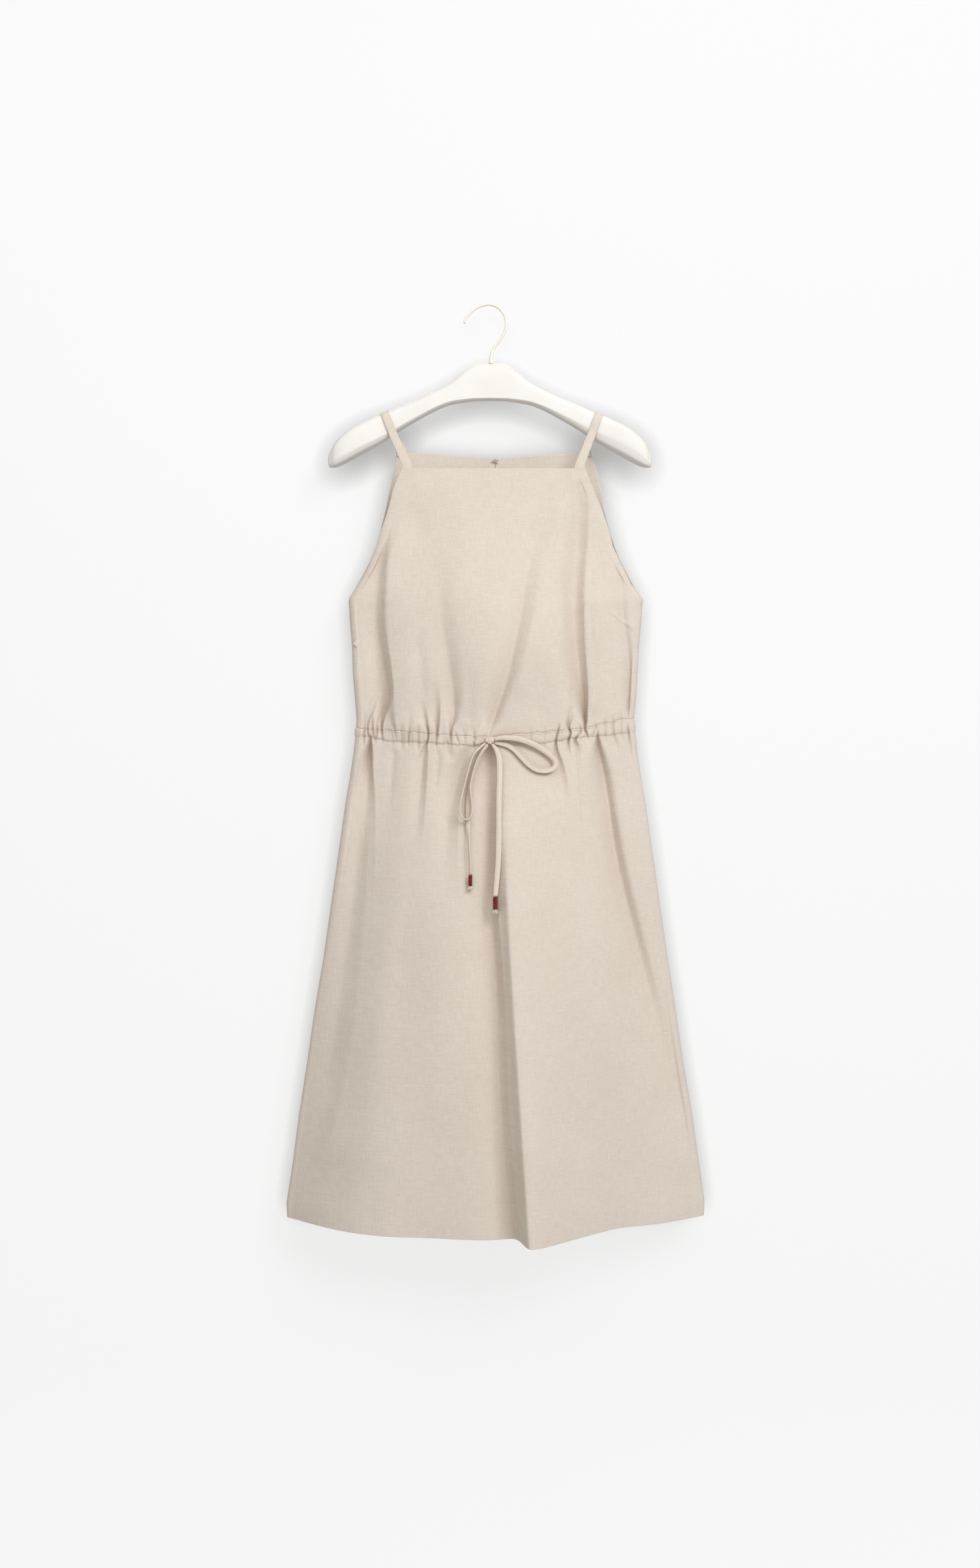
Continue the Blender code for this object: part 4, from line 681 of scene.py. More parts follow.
# Wall and floor, metres
WALL_Y = 0.045
WALL_TOP = 2.4
WALL_HALF_WIDTH = 4.0
WALL_BEND = 0.5
WALL_BEND_STEPS = 24
FLOOR_Z = -1.95
FLOOR_END_Y = -6.0

# Lamps: name, place and size in metres, power in watts
LIGHTS = [
    ("key", (2.0, -3.2, 1.7), 1.9, 98.0),
    ("front", (-0.2, -1.7, 0.6), 1.2, 11.0),
    ("under", (0.3, -1.4, -2.3), 1.6, 3.0),
    ("rear", (0.2, 2.8, 1.5), 2.2, 52.0),
]
LIGHT_AIM = (0.0, 0.0, -0.65)
LIGHT_COLOUR = (0.975, 0.99, 1.0)
ROOM_COLOUR = (1.0, 0.96, 0.91, 1.0)
ROOM_STRENGTH = 0.5


def column(rows, index):
    return np.array([row[index] for row in rows], float)


def linear(rows, at, index):
    """Value of one column between the rows of a table, along its first column."""
    return np.interp(at, column(rows, 0), column(rows, index))


def weights(places, at):
    """Share of each value in a smooth curve through uneven places, one row for each point."""
    places = np.asarray(places, float)
    at = np.atleast_1d(np.asarray(at, float))
    last = len(places) - 1
    index = np.clip(np.searchsorted(places, at) - 1, 0, last - 1)
    span = places[index + 1] - places[index]
    share = np.clip((at - places[index]) / span, 0.0, 1.0)
    square = share**2
    cube = share**3
    row = np.arange(len(at))
    result = np.zeros((len(at), last + 1))
    result[row, index] += 2 * cube - 3 * square + 1
    result[row, index + 1] += -2 * cube + 3 * square
    for point, weight in ((index, cube - 2 * square + share), (index + 1, cube - square)):
        before = np.maximum(point - 1, 0)
        after = np.minimum(point + 1, last)
        slope = weight * span / (places[after] - places[before])
        np.add.at(result, (row, after), slope)
        np.add.at(result, (row, before), -slope)
    return result


def smooth(share):
    share = np.clip(share, 0.0, 1.0)
    return share * share * (3 - 2 * share)


def unit(vectors):
    return vectors / np.linalg.norm(vectors, axis=-1, keepdims=True)


def placed(x, depth, drop):
    """Points in metres from millimetres: x, distance in front of or behind the middle, drop."""
    return np.stack((x, depth, -drop), axis=-1) * MM


def band(index, order=(0, 1, 2, 3)):
    """Four-sided faces between the rings of a closed tube, from a table of its points."""
    turned = np.roll(index, -1, axis=1)
    corners = (index[:-1], turned[:-1], turned[1:], index[1:])
    return np.stack([corners[place] for place in order], axis=-1).reshape(-1, 4).tolist()


def smooth_path(rows, steps):
    """Points on a smooth curve through the rows, evenly spaced along it; all columns follow."""
    rows = np.array(rows, float)
    lengths = np.linalg.norm(np.diff(rows[:, :3], axis=0), axis=1)
    spans = np.concatenate(([0.0], np.cumsum(lengths)))
    return weights(spans, np.linspace(0.0, spans[-1], steps + 1)) @ rows


def fold_height(fold, x, drop):
    """Height that one large fold adds at each place."""
    _, top, x_top, middle, x_middle, bottom, x_bottom = fold[:7]
    high_top, high_bottom, left, right, fade_in, fade_out = fold[7:]
    centre = weights((top, middle, bottom), drop) @ np.array((x_top, x_middle, x_bottom), float)
    height = high_top + (high_bottom - high_top) * (drop - top) / (bottom - top)
    if fade_in:
        height = height * smooth((drop - top) / fade_in)
    if fade_out:
        height = height * smooth((bottom - drop) / fade_out)
    reach = np.where(x < centre, left, right)
    inside = (drop > top) & (drop < bottom)
    return np.where(inside, height * np.exp(-(((x - centre) / reach) ** 2)), 0.0)


def crease_height(crease, x, drop):
    """Height of one finer crease, from the distance to its path."""
    _, path, height, reach_left, reach_right, fade_start, fade_end = crease
    margin = CREASE_MARGIN * max(reach_left, reach_right)
    low_x, low_drop = np.min(path, axis=0) - margin
    high_x, high_drop = np.max(path, axis=0) + margin
    near = (x > low_x) & (x < high_x) & (drop > low_drop) & (drop < high_drop)
    result = np.zeros(x.shape)
    x, drop = x[near], drop[near]
    padded = [(px, pdrop, 0.0) for px, pdrop in path]
    line = smooth_path(padded, PATH_STEPS * len(path))[:, :2]
    lengths = np.linalg.norm(np.diff(line, axis=0), axis=1)
    starts = np.concatenate(([0.0], np.cumsum(lengths)))
    nearest = np.full(x.shape, 1e6)
    side = np.zeros(x.shape)
    place = np.zeros(x.shape)
    for start, end, length, before in zip(line, line[1:], lengths, starts):
        along_x, along_drop = (end - start) / length
        off_x, off_drop = x - start[0], drop - start[1]
        reach = np.clip(off_x * along_x + off_drop * along_drop, 0.0, length)
        distance = np.hypot(off_x - reach * along_x, off_drop - reach * along_drop)
        closer = distance < nearest
        nearest = np.where(closer, distance, nearest)
        side = np.where(closer, along_x * off_drop - along_drop * off_x, side)
        place = np.where(closer, before + reach, place)
    fade = np.ones(x.shape)
    if fade_start:
        fade = fade * smooth(place / fade_start)
    if fade_end:
        fade = fade * smooth((starts[-1] - place) / fade_end)
    reach = np.where(side > 0, reach_left, reach_right)
    result[near] = height * fade * np.exp(-((nearest / reach) ** 2))
    return result


def pleat_height(pleat, x, drop):
    """Height of a pleat: soft on its left, and on its right as soft or up to a crisp ridge."""
    _, crisp, rows = pleat
    drops = column(rows, 0)
    result = np.zeros(x.shape)
    inside = (drop > drops[0]) & (drop < drops[-1])
    place, height, left, right = (weights(drops, drop[inside]) @ np.array(rows, float)[:, 1:]).T
    off = x[inside] - place
    height = np.minimum(height, 0.0)
    soft = np.exp(-(np.abs(off / np.where(off < 0, left, right)) ** PLEAT_POWER))
    if crisp:
        ramp = np.clip(1.0 - np.abs(off / right) ** CRISP_POWER, 0.0, 1.0)
        soft = np.where(off > 0, ramp, soft)
    result[inside] = height * soft
    return result


class Side:
    """Front or back of the dress: outline, seams and how far the cloth stands out."""

    def __init__(self, facing, columns, armhole, lines, sections, folds, gathers, creases, pleats):
        self.facing = facing
        self.edges = armhole + OUTLINE[1:]
        self.lines = lines
        self.sections = sections
        self.folds = folds
        self.gathers = gathers
        self.creases = creases
        self.pleats = pleats
        self.fractions = np.linspace(0.0, 1.0, columns)

    def left(self, drop):
        return linear(self.edges, drop, 1)

    def right(self, drop):
        return linear(self.edges, drop, 2)

    def line(self, x, index):
        """Drop of the casing's top (1), its bottom (2) or the hem (3)."""
        drop = weights(column(self.lines, 0), x) @ column(self.lines, index)
        if index in SEAM_PULL:
            for height, pitch, phase in SEAM_WAVES:
                drop = drop + height * np.sin(2 * math.pi * x / pitch + phase * index)
            for place, depth in self.seam_folds(index):
                pull = SEAM_PULL[index] * min(depth / SEAM_PULL_DEPTH, 1.2)
                drop = drop + pull * np.exp(-(((x - place) / SEAM_PULL_REACH) ** 2))
        return drop

    def seam_folds(self, index):
        """Place and depth of each gather and pleat at the casing's top (1) or bottom (2)."""
        found = [(gather[0], GATHER_DEEPER * gather[1]) for gather in self.gathers]
        for _, _, rows in self.pleats:
            drops = column(rows, 0)
            middle = drops[0] + (drops[-1] - drops[0]) / 2
            place = np.interp(middle, drops, column(rows, 1))
            seam = float(np.interp(place, column(self.lines, 0), column(self.lines, index)))
            if drops[0] < seam < drops[-1]:
                depth = -float(np.interp(seam, drops, column(rows, 2)))
                found.append((float(np.interp(seam, drops, column(rows, 1))), depth))
        return found

    def edge(self, drop):
        """Depth of the edge and roundness of the side fold."""
        return linear(self.sections, drop, 1), linear(self.sections, drop, 2)

    def gather_height(self, x, drop):
        top, bottom = self.line(x, 1), self.line(x, 2)
        above = np.maximum(top - drop, 0.0)
        below = np.maximum(drop - bottom, 0.0)
        total = np.zeros(x.shape)
        for place, depth, up, down, drift_up, drift_down in self.gathers:
            fade = (1.0 - smooth(above / up)) * (1.0 - smooth(below / down))
            centre = place + drift_up * above / up + drift_down * below / down
            reach = GATHER_REACH + GATHER_SPREAD * (above + below)
            shape = np.exp(-((np.abs(x - centre) / reach) ** GATHER_POWER))
            total -= GATHER_DEEPER * depth * fade * shape
        ripple = np.zeros(x.shape)
        for pitch, height, phase in RIPPLES:
            ripple += height * np.sin(2 * math.pi * x / pitch + phase * self.facing)
        gathered = linear(GATHERED, x, 1)
        return total + ripple * gathered * np.exp(-(above + below) / RIPPLE_LENGTH)

    def depth(self, x, drop, fraction, folds=True, creases=True):
        """Distance in front of the seam plane, in millimetres, inside the side folds."""
        drops = column(self.sections, 0)
        edge, roundness = self.edge(drop)
        inner = weights(drops, drop) @ np.array([row[3:] for row in self.sections], float)
        stations = np.hstack((np.zeros((len(x), 1)), inner, np.zeros((len(x), 1))))
        value = edge + roundness * SIDE_FOLD[-1][2] + (weights(STATIONS, fraction) * stations).sum(1)
        if folds:
            from_edge = np.minimum(fraction, 1.0 - fraction)
            relief = sum(fold_height(fold, x, drop) for fold in self.folds)
            if creases:
                relief = relief + sum(crease_height(crease, x, drop) for crease in self.creases)
            value = value + smooth(from_edge / EDGE_FADE) * relief
            near = self.gather_height(x, drop) + sum(pleat_height(pleat, x, drop) for pleat in self.pleats)
            value = value + smooth(from_edge / GATHER_EDGE_FADE) * near
        return value

    def depth_at(self, x, drop, fraction):
        """Depth at a single place."""
        return float(self.depth(np.array([x]), np.array([drop]), np.array([fraction]))[0])

    def fraction_at(self, x, drop):
        inset = SIDE_FOLD[-1][1]
        low, high = self.left(drop) + inset, self.right(drop) - inset
        return np.clip((x - low) / (high - low), 0.0, 1.0)

    def surface(self, x, drop, out=0.0, folds=True, creases=True):
        """Points in front of the cloth, in metres, at places given by x and drop."""
        x, drop = (np.atleast_1d(np.asarray(value, float)) for value in (x, drop))
        depth = self.depth(x, drop, self.fraction_at(x, drop), folds, creases) + out
        return self.points(x, drop, depth)

    def grid(self, top, bottom, shares, proud=0.0):
        """Points across the cloth for each share of the way from one line to the other."""
        fold = weights(range(len(SIDE_FOLD)), FOLD_PLACES) @ np.array(SIDE_FOLD)
        inset_open, inset, forward, sideways = fold.T
        last_open, last = SIDE_FOLD[-1][:2]
        places = []
        proud = np.broadcast_to(proud, len(shares))
        for share, lift in zip(shares, proud):
            drop_at = lambda x: top(x) + (bottom(x) - top(x)) * share
            edges = []
            for line, way in ((self.left, 1), (self.right, -1)):
                edge = float(line(float(np.squeeze(drop_at(line(WAIST_DROP))))))
                edge_depth, roundness = self.edge(float(np.squeeze(drop_at(edge))))
                x = edge + way * (inset_open + roundness * (inset - inset_open) - sideways * lift)
                depth = edge_depth + roundness * forward + lift * (1.0 - sideways)
                start = edge + way * (last_open + roundness * (last - last_open))
                edges.append((x, depth, start))
            (left_x, left_depth, start), (right_x, right_depth, end) = edges
            inner = start + (end - start) * self.fractions
            x = np.concatenate((left_x, inner, right_x[::-1]))
            depth = np.concatenate((left_depth, np.full(len(inner), np.nan), right_depth[::-1]))
            places.append((x, np.broadcast_to(drop_at(x), x.shape), depth))
        x, drop, depth = (np.array(values) for values in zip(*places))
        inner = np.isnan(depth)
        fraction = np.broadcast_to(self.fractions, (len(shares), len(self.fractions))).ravel()
        lift = np.repeat(proud, len(self.fractions))
        depth[inner] = self.depth(x[inner], drop[inner], fraction) + lift
        return x, drop, depth

    def points(self, x, drop, depth):
        return placed(x, self.facing * depth, drop)


FOLD_PLACES = np.linspace(0.0, len(SIDE_FOLD) - 1, FOLD_STEPS + 1)[:-1]
FRONT = Side(
    -1, FRONT_COLUMNS, FRONT_ARMHOLE, FRONT_LINES, FRONT_SECTIONS, FRONT_FOLDS, FRONT_GATHERS,
    FRONT_CREASES, FRONT_PLEATS,
)
BACK = Side(
    1, BACK_COLUMNS, BACK_ARMHOLE, BACK_LINES, BACK_SECTIONS, BACK_FOLDS, BACK_GATHERS, BACK_CREASES,
    BACK_PLEATS,
)


def row_shares(length, widest):
    """Rows as shares of a panel's length: close at both edges, wider apart away from the waist."""
    places = list(EDGE_ROWS)
    step = EDGE_ROWS[-1] - EDGE_ROWS[-2]
    end = length - EDGE_ROWS[-1]
    while places[-1] + 1.5 * step < end:
        places.append(places[-1] + step)
        step = min(step * ROW_GROWTH, widest)
    places += [length - offset for offset in reversed(EDGE_ROWS)]
    return np.array(places) / length


def mesh_object(name, vertices, faces, material, smooth_faces=True):
    mesh = bpy.data.meshes.new(name)
    mesh.from_pydata([tuple(vertex) for vertex in vertices], [], faces)
    mesh.validate()
    if smooth_faces:
        mesh.shade_smooth()
    item = bpy.data.objects.new(name, mesh)
    bpy.context.scene.collection.objects.link(item)
    mesh.materials.append(material)
    return item


def hand_over(piece, slot, *nodes):
    """The piece rides on the body, names its material slot and the CAD nodes it stands for."""
    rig.ride(piece, BODY)
    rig.slot(piece, slot)
    if nodes:
        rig.replaces(piece, *nodes)
    return piece


def cloth_shell(name, points, wall, material, facing):
    """Closed thin wall: outer points, inner points behind them, and a rounded fold at the edges."""
    rows, across = points.shape[:2]
    along_row = np.gradient(points, axis=1)
    along_column = np.gradient(points, axis=0)
    outward = unit(np.cross(along_row, along_column) * facing)
    inner = points - outward * wall * MM
    total = rows * across
    index = np.arange(total).reshape(rows, across)
    corners = (index[:-1, :-1], index[:-1, 1:], index[1:, 1:], index[1:, :-1])
    quads = np.stack(corners, axis=-1).reshape(-1, 4)
    outer_faces = quads if facing > 0 else quads[:, ::-1]
    inner_faces = outer_faces[:, ::-1] + total
    border = np.concatenate(
        (index[0, :-1], index[:-1, -1], index[-1, :0:-1], index[:0:-1, 0])
    )
    inward = np.concatenate(
        (index[1, :-1], index[:-1, -2], index[-2, :0:-1], index[:0:-1, 1])
    )
    outer_flat = points.reshape(-1, 3)
    middle = (outer_flat[border] + inner.reshape(-1, 3)[border]) / 2
    away = outer_flat[border] - outer_flat[inward]
    away /= np.maximum(np.linalg.norm(away, axis=1, keepdims=True), 1e-9)
    lip = middle + away * wall * MM * LIP
    vertices = np.concatenate((outer_flat, inner.reshape(-1, 3), lip))
    follow = np.roll(border, -1)
    lips = 2 * total + np.arange(len(border))
    next_lips = np.roll(lips, -1)
    rim = np.concatenate((
        np.stack((border, lips, next_lips, follow), axis=-1),
        np.stack((lips, border + total, follow + total, next_lips), axis=-1),
    ))
    rim = rim if facing > 0 else rim[:, ::-1]
    faces = np.concatenate((outer_faces, inner_faces, rim)).tolist()
    return mesh_object(name, vertices, faces, material)


def tape(name, low_edge, high_edge, thickness, section, material, outward=None):
    """Folded tape between two edge lines, with a section of its own and rounded, closed ends."""
    low_edge, high_edge = np.asarray(low_edge), np.asarray(high_edge)
    centre = (low_edge + high_edge) / 2
    along = unit(np.gradient(centre, axis=0))
    across = high_edge - low_edge
    up = unit(np.cross(along, across))
    if outward is not None:
        up *= np.where((up * outward).sum(1, keepdims=True) > 0, 1, -1)
    rings = [
        centre + across * share + up * -height * thickness * MM for share, height in section
    ]
    rings = np.stack(rings, axis=1)
    rows, count = rings.shape[:2]
    vertices = rings.reshape(-1, 3)
    index = np.arange(rows * count).reshape(rows, count)
    faces = band(index) + [index[0, ::-1].tolist(), index[-1].tolist()]
    item = mesh_object(name, vertices, faces, material)
    fix_normals(item)
    return item, centre


def fix_normals(item):
    """Turns every face outwards."""
    shape = bmesh.new()
    shape.from_mesh(item.data)
    bmesh.ops.recalc_face_normals(shape, faces=shape.faces)
    shape.to_mesh(item.data)
    shape.free()


def round_tube(points, radii, sides):
    """Vertices and faces of a closed tube along a line."""
    points = np.asarray(points, float)
    along = unit(np.gradient(points, axis=0))
    guide = np.array((0.0, 1.0, 0.0)) if abs(along[0][1]) < 0.9 else np.array((1.0, 0.0, 0.0))
    side = unit(np.cross(along, guide))
    up = np.cross(along, side)
    angles = np.arange(sides) * 2 * math.pi / sides
    radii = np.broadcast_to(radii, len(points))[:, None, None]
    circle = side[:, None] * np.cos(angles)[None, :, None] + up[:, None] * np.sin(angles)[None, :, None]
    vertices = (points[:, None] + circle * radii).reshape(-1, 3)
    index = np.arange(len(vertices)).reshape(len(points), sides)
    faces = band(index, (0, 3, 2, 1)) + [index[0].tolist(), index[-1, ::-1].tolist()]
    return vertices, faces


def joined_tubes(name, tubes, material):
    """One mesh from many tubes, each given as points, radii and sides."""
    vertices = []
    faces = []
    for points, radii, sides in tubes:
        new_vertices, new_faces = round_tube(points, radii, sides)
        faces += [[corner + len(vertices) for corner in face] for face in new_faces]
        vertices += new_vertices.tolist()
    return mesh_object(name, vertices, faces, material)


class Nodes:
    """A material's shader, with short calls for the nodes in front of it."""

    def __init__(self, name):
        self.material = bpy.data.materials.new(name)
        self.material.use_nodes = True
        self.tree = self.material.node_tree
        self.shader = self.tree.nodes["Principled BSDF"]
        self.place = self.add("ShaderNodeTexCoord").outputs["Object"]

    def add(self, kind, inputs=None, **settings):
        node = self.tree.nodes.new(kind)
        for key, value in settings.items():
            setattr(node, key, value)
        for key, value in (inputs or {}).items():
            if isinstance(value, bpy.types.NodeSocket):
                self.tree.links.new(value, node.inputs[key])
            else:
                node.inputs[key].default_value = value
        return node

    def math(self, operation, *values):
        return self.add("ShaderNodeMath", dict(enumerate(values)), operation=operation).outputs[0]

    def total(self, *terms):
        """Sum of values, each times its own factor."""
        result = 0.0
        for value, factor in terms:
            result = self.math("MULTIPLY_ADD", value, factor, result)
        return result

    def noise(self, scale, detail=2.0, place=None):
        mapped = self.add("ShaderNodeMapping", {"Vector": place or self.place, "Scale": scale})
        inputs = {"Vector": mapped.outputs[0], "Scale": 1.0, "Detail": detail}
        return self.add("ShaderNodeTexNoise", inputs).outputs[0]

    def stretch(self, value, low, high, start=0.0, end=1.0):
        inputs = {0: value, 1: low, 2: high, 3: start, 4: end}
        return self.add("ShaderNodeMapRange", inputs).outputs[0]

    def blend(self, share, first, second, way="MIX"):
        if not isinstance(first, bpy.types.NodeSocket):
            first = (*first, 1.0)
        inputs = {0: share, 6: first, 7: (*second, 1.0)}
        return self.add("ShaderNodeMix", inputs, data_type="RGBA", blend_type=way).outputs[2]

    def set(self, **values):
        for key, value in values.items():
            socket = self.shader.inputs[key.replace("_", " ")]
            if isinstance(value, bpy.types.NodeSocket):
                self.tree.links.new(value, socket)
            else:
                socket.default_value = value

    def open_share(self, distance):
        """How open a place is to its surroundings within a distance, from 0 to 1."""
        return self.add("ShaderNodeAmbientOcclusion", {"Distance": distance}, samples=8).outputs["AO"]

    def bump(self, height, distance, strength=1.0):
        inputs = {"Height": height, "Distance": distance, "Strength": strength}
        self.set(Normal=self.add("ShaderNodeBump", inputs).outputs[0])


def fabric(name, light, dark, contrast=1.0, sheen=0.12):
    """Plain linen weave: uneven threads both ways, slubs and a faint mottle, and painted shade that darkens the colour
    in the folds.
    """
    nodes = Nodes(name)
    x, y, z = nodes.add("ShaderNodeSeparateXYZ", {0: nodes.place}).outputs
    across = nodes.math("MULTIPLY_ADD", y, 0.6, x)
    flat = nodes.add("ShaderNodeCombineXYZ", {0: across, 1: 0.0, 2: z}).outputs[0]
    warp = nodes.noise((950, 1, 75), 3.0, flat)
    weft = nodes.noise((80, 1, 950), 3.0, flat)
    broad_warp = nodes.noise((420, 1, 26), 2.0, flat)
    broad_weft = nodes.noise((22, 1, 380), 2.0, flat)
    slubs = nodes.noise((60, 1, 1300), 1.0, flat)
    mottle = nodes.noise((11, 11, 11), 3.0)
    tone = nodes.total(
        (warp, 0.3), (weft, 0.3), (broad_warp, 0.1), (broad_weft, 0.1), (slubs, 0.08), (mottle, 0.12)
    )
    share = nodes.stretch(tone, 0.5 - 0.13 / contrast, 0.5 + 0.13 / contrast)
    # Painted shade: the colour is darkened and warmed where the cloth is hemmed in by nearby cloth
    painted_shade = nodes.stretch(nodes.open_share(FOLD_SHADE_REACH), 0.4, 0.95, 1.0, 0.0)
    nodes.set(Base_Color=nodes.blend(painted_shade, nodes.blend(share, dark, light), FOLD_PAINTED_SHADE, "MULTIPLY"))
    nodes.set(Roughness=nodes.stretch(weft, 0.3, 0.7, 0.84, 0.95))
    nodes.set(Sheen_Weight=sheen, Sheen_Roughness=0.55, Specular_IOR_Level=0.22)
    rib_x = nodes.math("SINE", nodes.math("MULTIPLY", across, 2 * math.pi / WARP_PITCH))
    rib_z = nodes.math("SINE", nodes.math("MULTIPLY", z, 2 * math.pi / WEFT_PITCH))
    weave = nodes.math("MULTIPLY", rib_x, rib_z)
    nodes.bump(nodes.total((warp, 1.0), (weft, 1.3), (slubs, 0.4), (weave, 0.12)), 0.00022, 0.5)
    return nodes.material


def thread(name, light, dark, pitch, sheen=0.1, roughness=0.75):
    """Twisted thread: short slanted strands."""
    nodes = Nodes(name)
    strands = nodes.noise((pitch, pitch, pitch * 2.2), 3.0)
    patches = nodes.noise((240, 240, 240), 2.0)
    share = nodes.stretch(nodes.total((strands, 0.7), (patches, 0.3)), 0.36, 0.64)
    nodes.set(Base_Color=nodes.blend(share, dark, light))
    nodes.set(Roughness=nodes.stretch(strands, 0.3, 0.7, roughness - 0.08, roughness + 0.08))
    nodes.set(Sheen_Weight=sheen, Specular_IOR_Level=0.3)
    nodes.bump(strands, 0.00012, 0.6)
    return nodes.material


def moulded(name, light, dark, roughness, grain, coat):
    """Moulded or coated surface: slight waviness, fine grain and a mild sheen of wear."""
    nodes = Nodes(name)
    waves = nodes.noise((22, 22, 22), 2.0)
    fine = nodes.noise((grain, grain, grain), 3.0)
    share = nodes.stretch(nodes.total((waves, 0.7), (fine, 0.3)), 0.34, 0.66)
    nodes.set(Base_Color=nodes.blend(share, dark, light))
    nodes.set(Roughness=nodes.stretch(fine, 0.3, 0.7, roughness - 0.06, roughness + 0.08))
    nodes.set(Coat_Weight=coat, Coat_Roughness=0.35, Specular_IOR_Level=0.4)
    nodes.bump(nodes.total((waves, 2.0), (fine, 0.3)), 0.0002, 0.5)
    return nodes.material


def backdrop_material():
    """Pale matt wall, seen from the front only, glowing evenly with a painted shadow where the glow fades close to the
    dress.
    """
    nodes = Nodes("backdrop")
    patches = nodes.noise((3, 3, 3), 2.0)
    low = tuple(value * BACKDROP_PATCHES for value in BACKDROP)
    nodes.set(Base_Color=nodes.blend(patches, low, BACKDROP), Roughness=0.95, Specular_IOR_Level=0.1)
    # Painted shadow: the wall's glow is dimmed where the dress comes close
    near = nodes.open_share(BACKDROP_SHADOW_REACH)
    glow = nodes.math("MULTIPLY", nodes.math("POWER", near, BACKDROP_SHADOW_FADE), BACKDROP_GLOW)
    nodes.set(Emission_Color=(1.0, 1.0, 1.0, 1.0), Emission_Strength=glow)
    clear = nodes.add("ShaderNodeBsdfTransparent").outputs[0]
    behind = nodes.add("ShaderNodeNewGeometry").outputs["Backfacing"]
    shader = nodes.shader.outputs[0]
    mixed = nodes.add("ShaderNodeMixShader", {0: behind, 1: shader, 2: clear}).outputs[0]
    output = nodes.tree.nodes["Material Output"]
    nodes.tree.links.new(mixed, output.inputs["Surface"])
    return nodes.material


LINEN = fabric("linen", LINEN_LIGHT, LINEN_DARK, 1.5)
LINEN_TIE = fabric("linen_tie", TIE_LIGHT, TIE_DARK)
THREAD_PALE = thread("thread_pale", THREAD_LIGHT, THREAD_DARK, 2200)
THREAD_RED = thread("thread_red", RED_LIGHT, RED_DARK, 1700)
TUFT = thread("tuft", TUFT_LIGHT, TUFT_DARK, 1500)
HANGER_WHITE = moulded("hanger_white", HANGER_LIGHT, HANGER_DARK, 0.55, 900, 0.03)
WIRE_CREAM = moulded("wire_cream", WIRE_LIGHT, WIRE_DARK, 0.45, 700, 0.08)


def set_camera():
    camera = bpy.data.cameras.new("camera")
    camera.sensor_width = SENSOR
    camera.lens = SENSOR * CAMERA_DISTANCE / (PHOTO_HEIGHT * MM_PER_PIXEL * MM)
    item = bpy.data.objects.new("camera", camera)
    item.location = (0.0, -CAMERA_DISTANCE, -CAMERA_DROP)
    item.rotation_euler = (math.radians(90), 0.0, 0.0)
    bpy.context.scene.collection.objects.link(item)
    bpy.context.scene.camera = item


def tie_route(table, steps):
    """Middle of the tie and its two edges, with the way its flat side faces."""
    route = smooth_path(table, steps)
    x, drop, out, width, turn = route.T
    centre = FRONT.surface(x, drop, out + TIE_WALL / 2, folds=False)
    along = unit(np.gradient(centre, axis=0))
    flat = unit(np.cross(along, (0.0, -1.0, 0.0)))
    faced = np.cross(flat, along)
    angle = np.radians(turn)[:, None]
    edge = flat * np.cos(angle) + np.cross(along, flat) * np.sin(angle)
    outward = faced * np.cos(angle) + np.cross(along, faced) * np.sin(angle)
    half = edge * width[:, None] * MM / 2
    return centre - half, centre + half, outward


def make_tie(name, table, steps):
    low_edge, high_edge, outward = tie_route(table, steps)
    tie, path = tape(name + "_tape", low_edge, high_edge, TIE_THICK, TIE_SECTION, LINEN_TIE, outward)
    hand_over(tie, "linen_tie", name)
    length = float(np.linalg.norm(np.diff(path, axis=0), axis=1).sum())
    return tie, path.tolist(), round(length, 3)


def make_knot():
    """Small crumpled knot: an ellipsoid with the band that goes round it."""
    x, drop, out = KNOT_CENTRE
    centre = FRONT.surface(x, drop, out, folds=False)[0]
    turn = np.linspace(0.0, 2 * math.pi, KNOT_AROUND, endpoint=False)[None, :]
    lean = np.linspace(-math.pi / 2, math.pi / 2, KNOT_RINGS + 1)[1:-1, None]
    share = np.sin(lean)
    swell = 1.0 + 0.05 * np.sin(3 * turn + 1.0) * np.cos(lean) + 0.035 * np.sin(5 * turn - 4 * lean)
    for place, depth, width, drift in KNOT_CREASES:
        swell = swell - depth * np.exp(-(((share - place - drift * np.sin(turn)) / width) ** 2))
    half_x, half_z, half_y = (size * MM / 2 for size in KNOT_SIZE)
    rows = np.stack((
        np.broadcast_to(share, swell.shape) * half_x * swell,
        np.cos(lean) * np.cos(turn) * half_y * swell,
        np.cos(lean) * np.sin(turn) * half_z * swell,
    ), axis=-1)
    ends = np.array(((-half_x, 0.0, 0.0), (half_x, 0.0, 0.0)))
    vertices = np.concatenate((rows.reshape(-1, 3), ends)) + centre
    index = np.arange(len(vertices) - 2).reshape(-1, KNOT_AROUND)
    faces = band(index)
    for row, tip in ((index[0], index.size), (index[-1], index.size + 1)):
        faces += [[int(a), int(b), tip] for a, b in zip(row, np.roll(row, -1))]
    knot = mesh_object("knot", vertices, faces, LINEN_TIE)
    fix_normals(knot)
    return hand_over(knot, "linen_tie", "tie_knot")


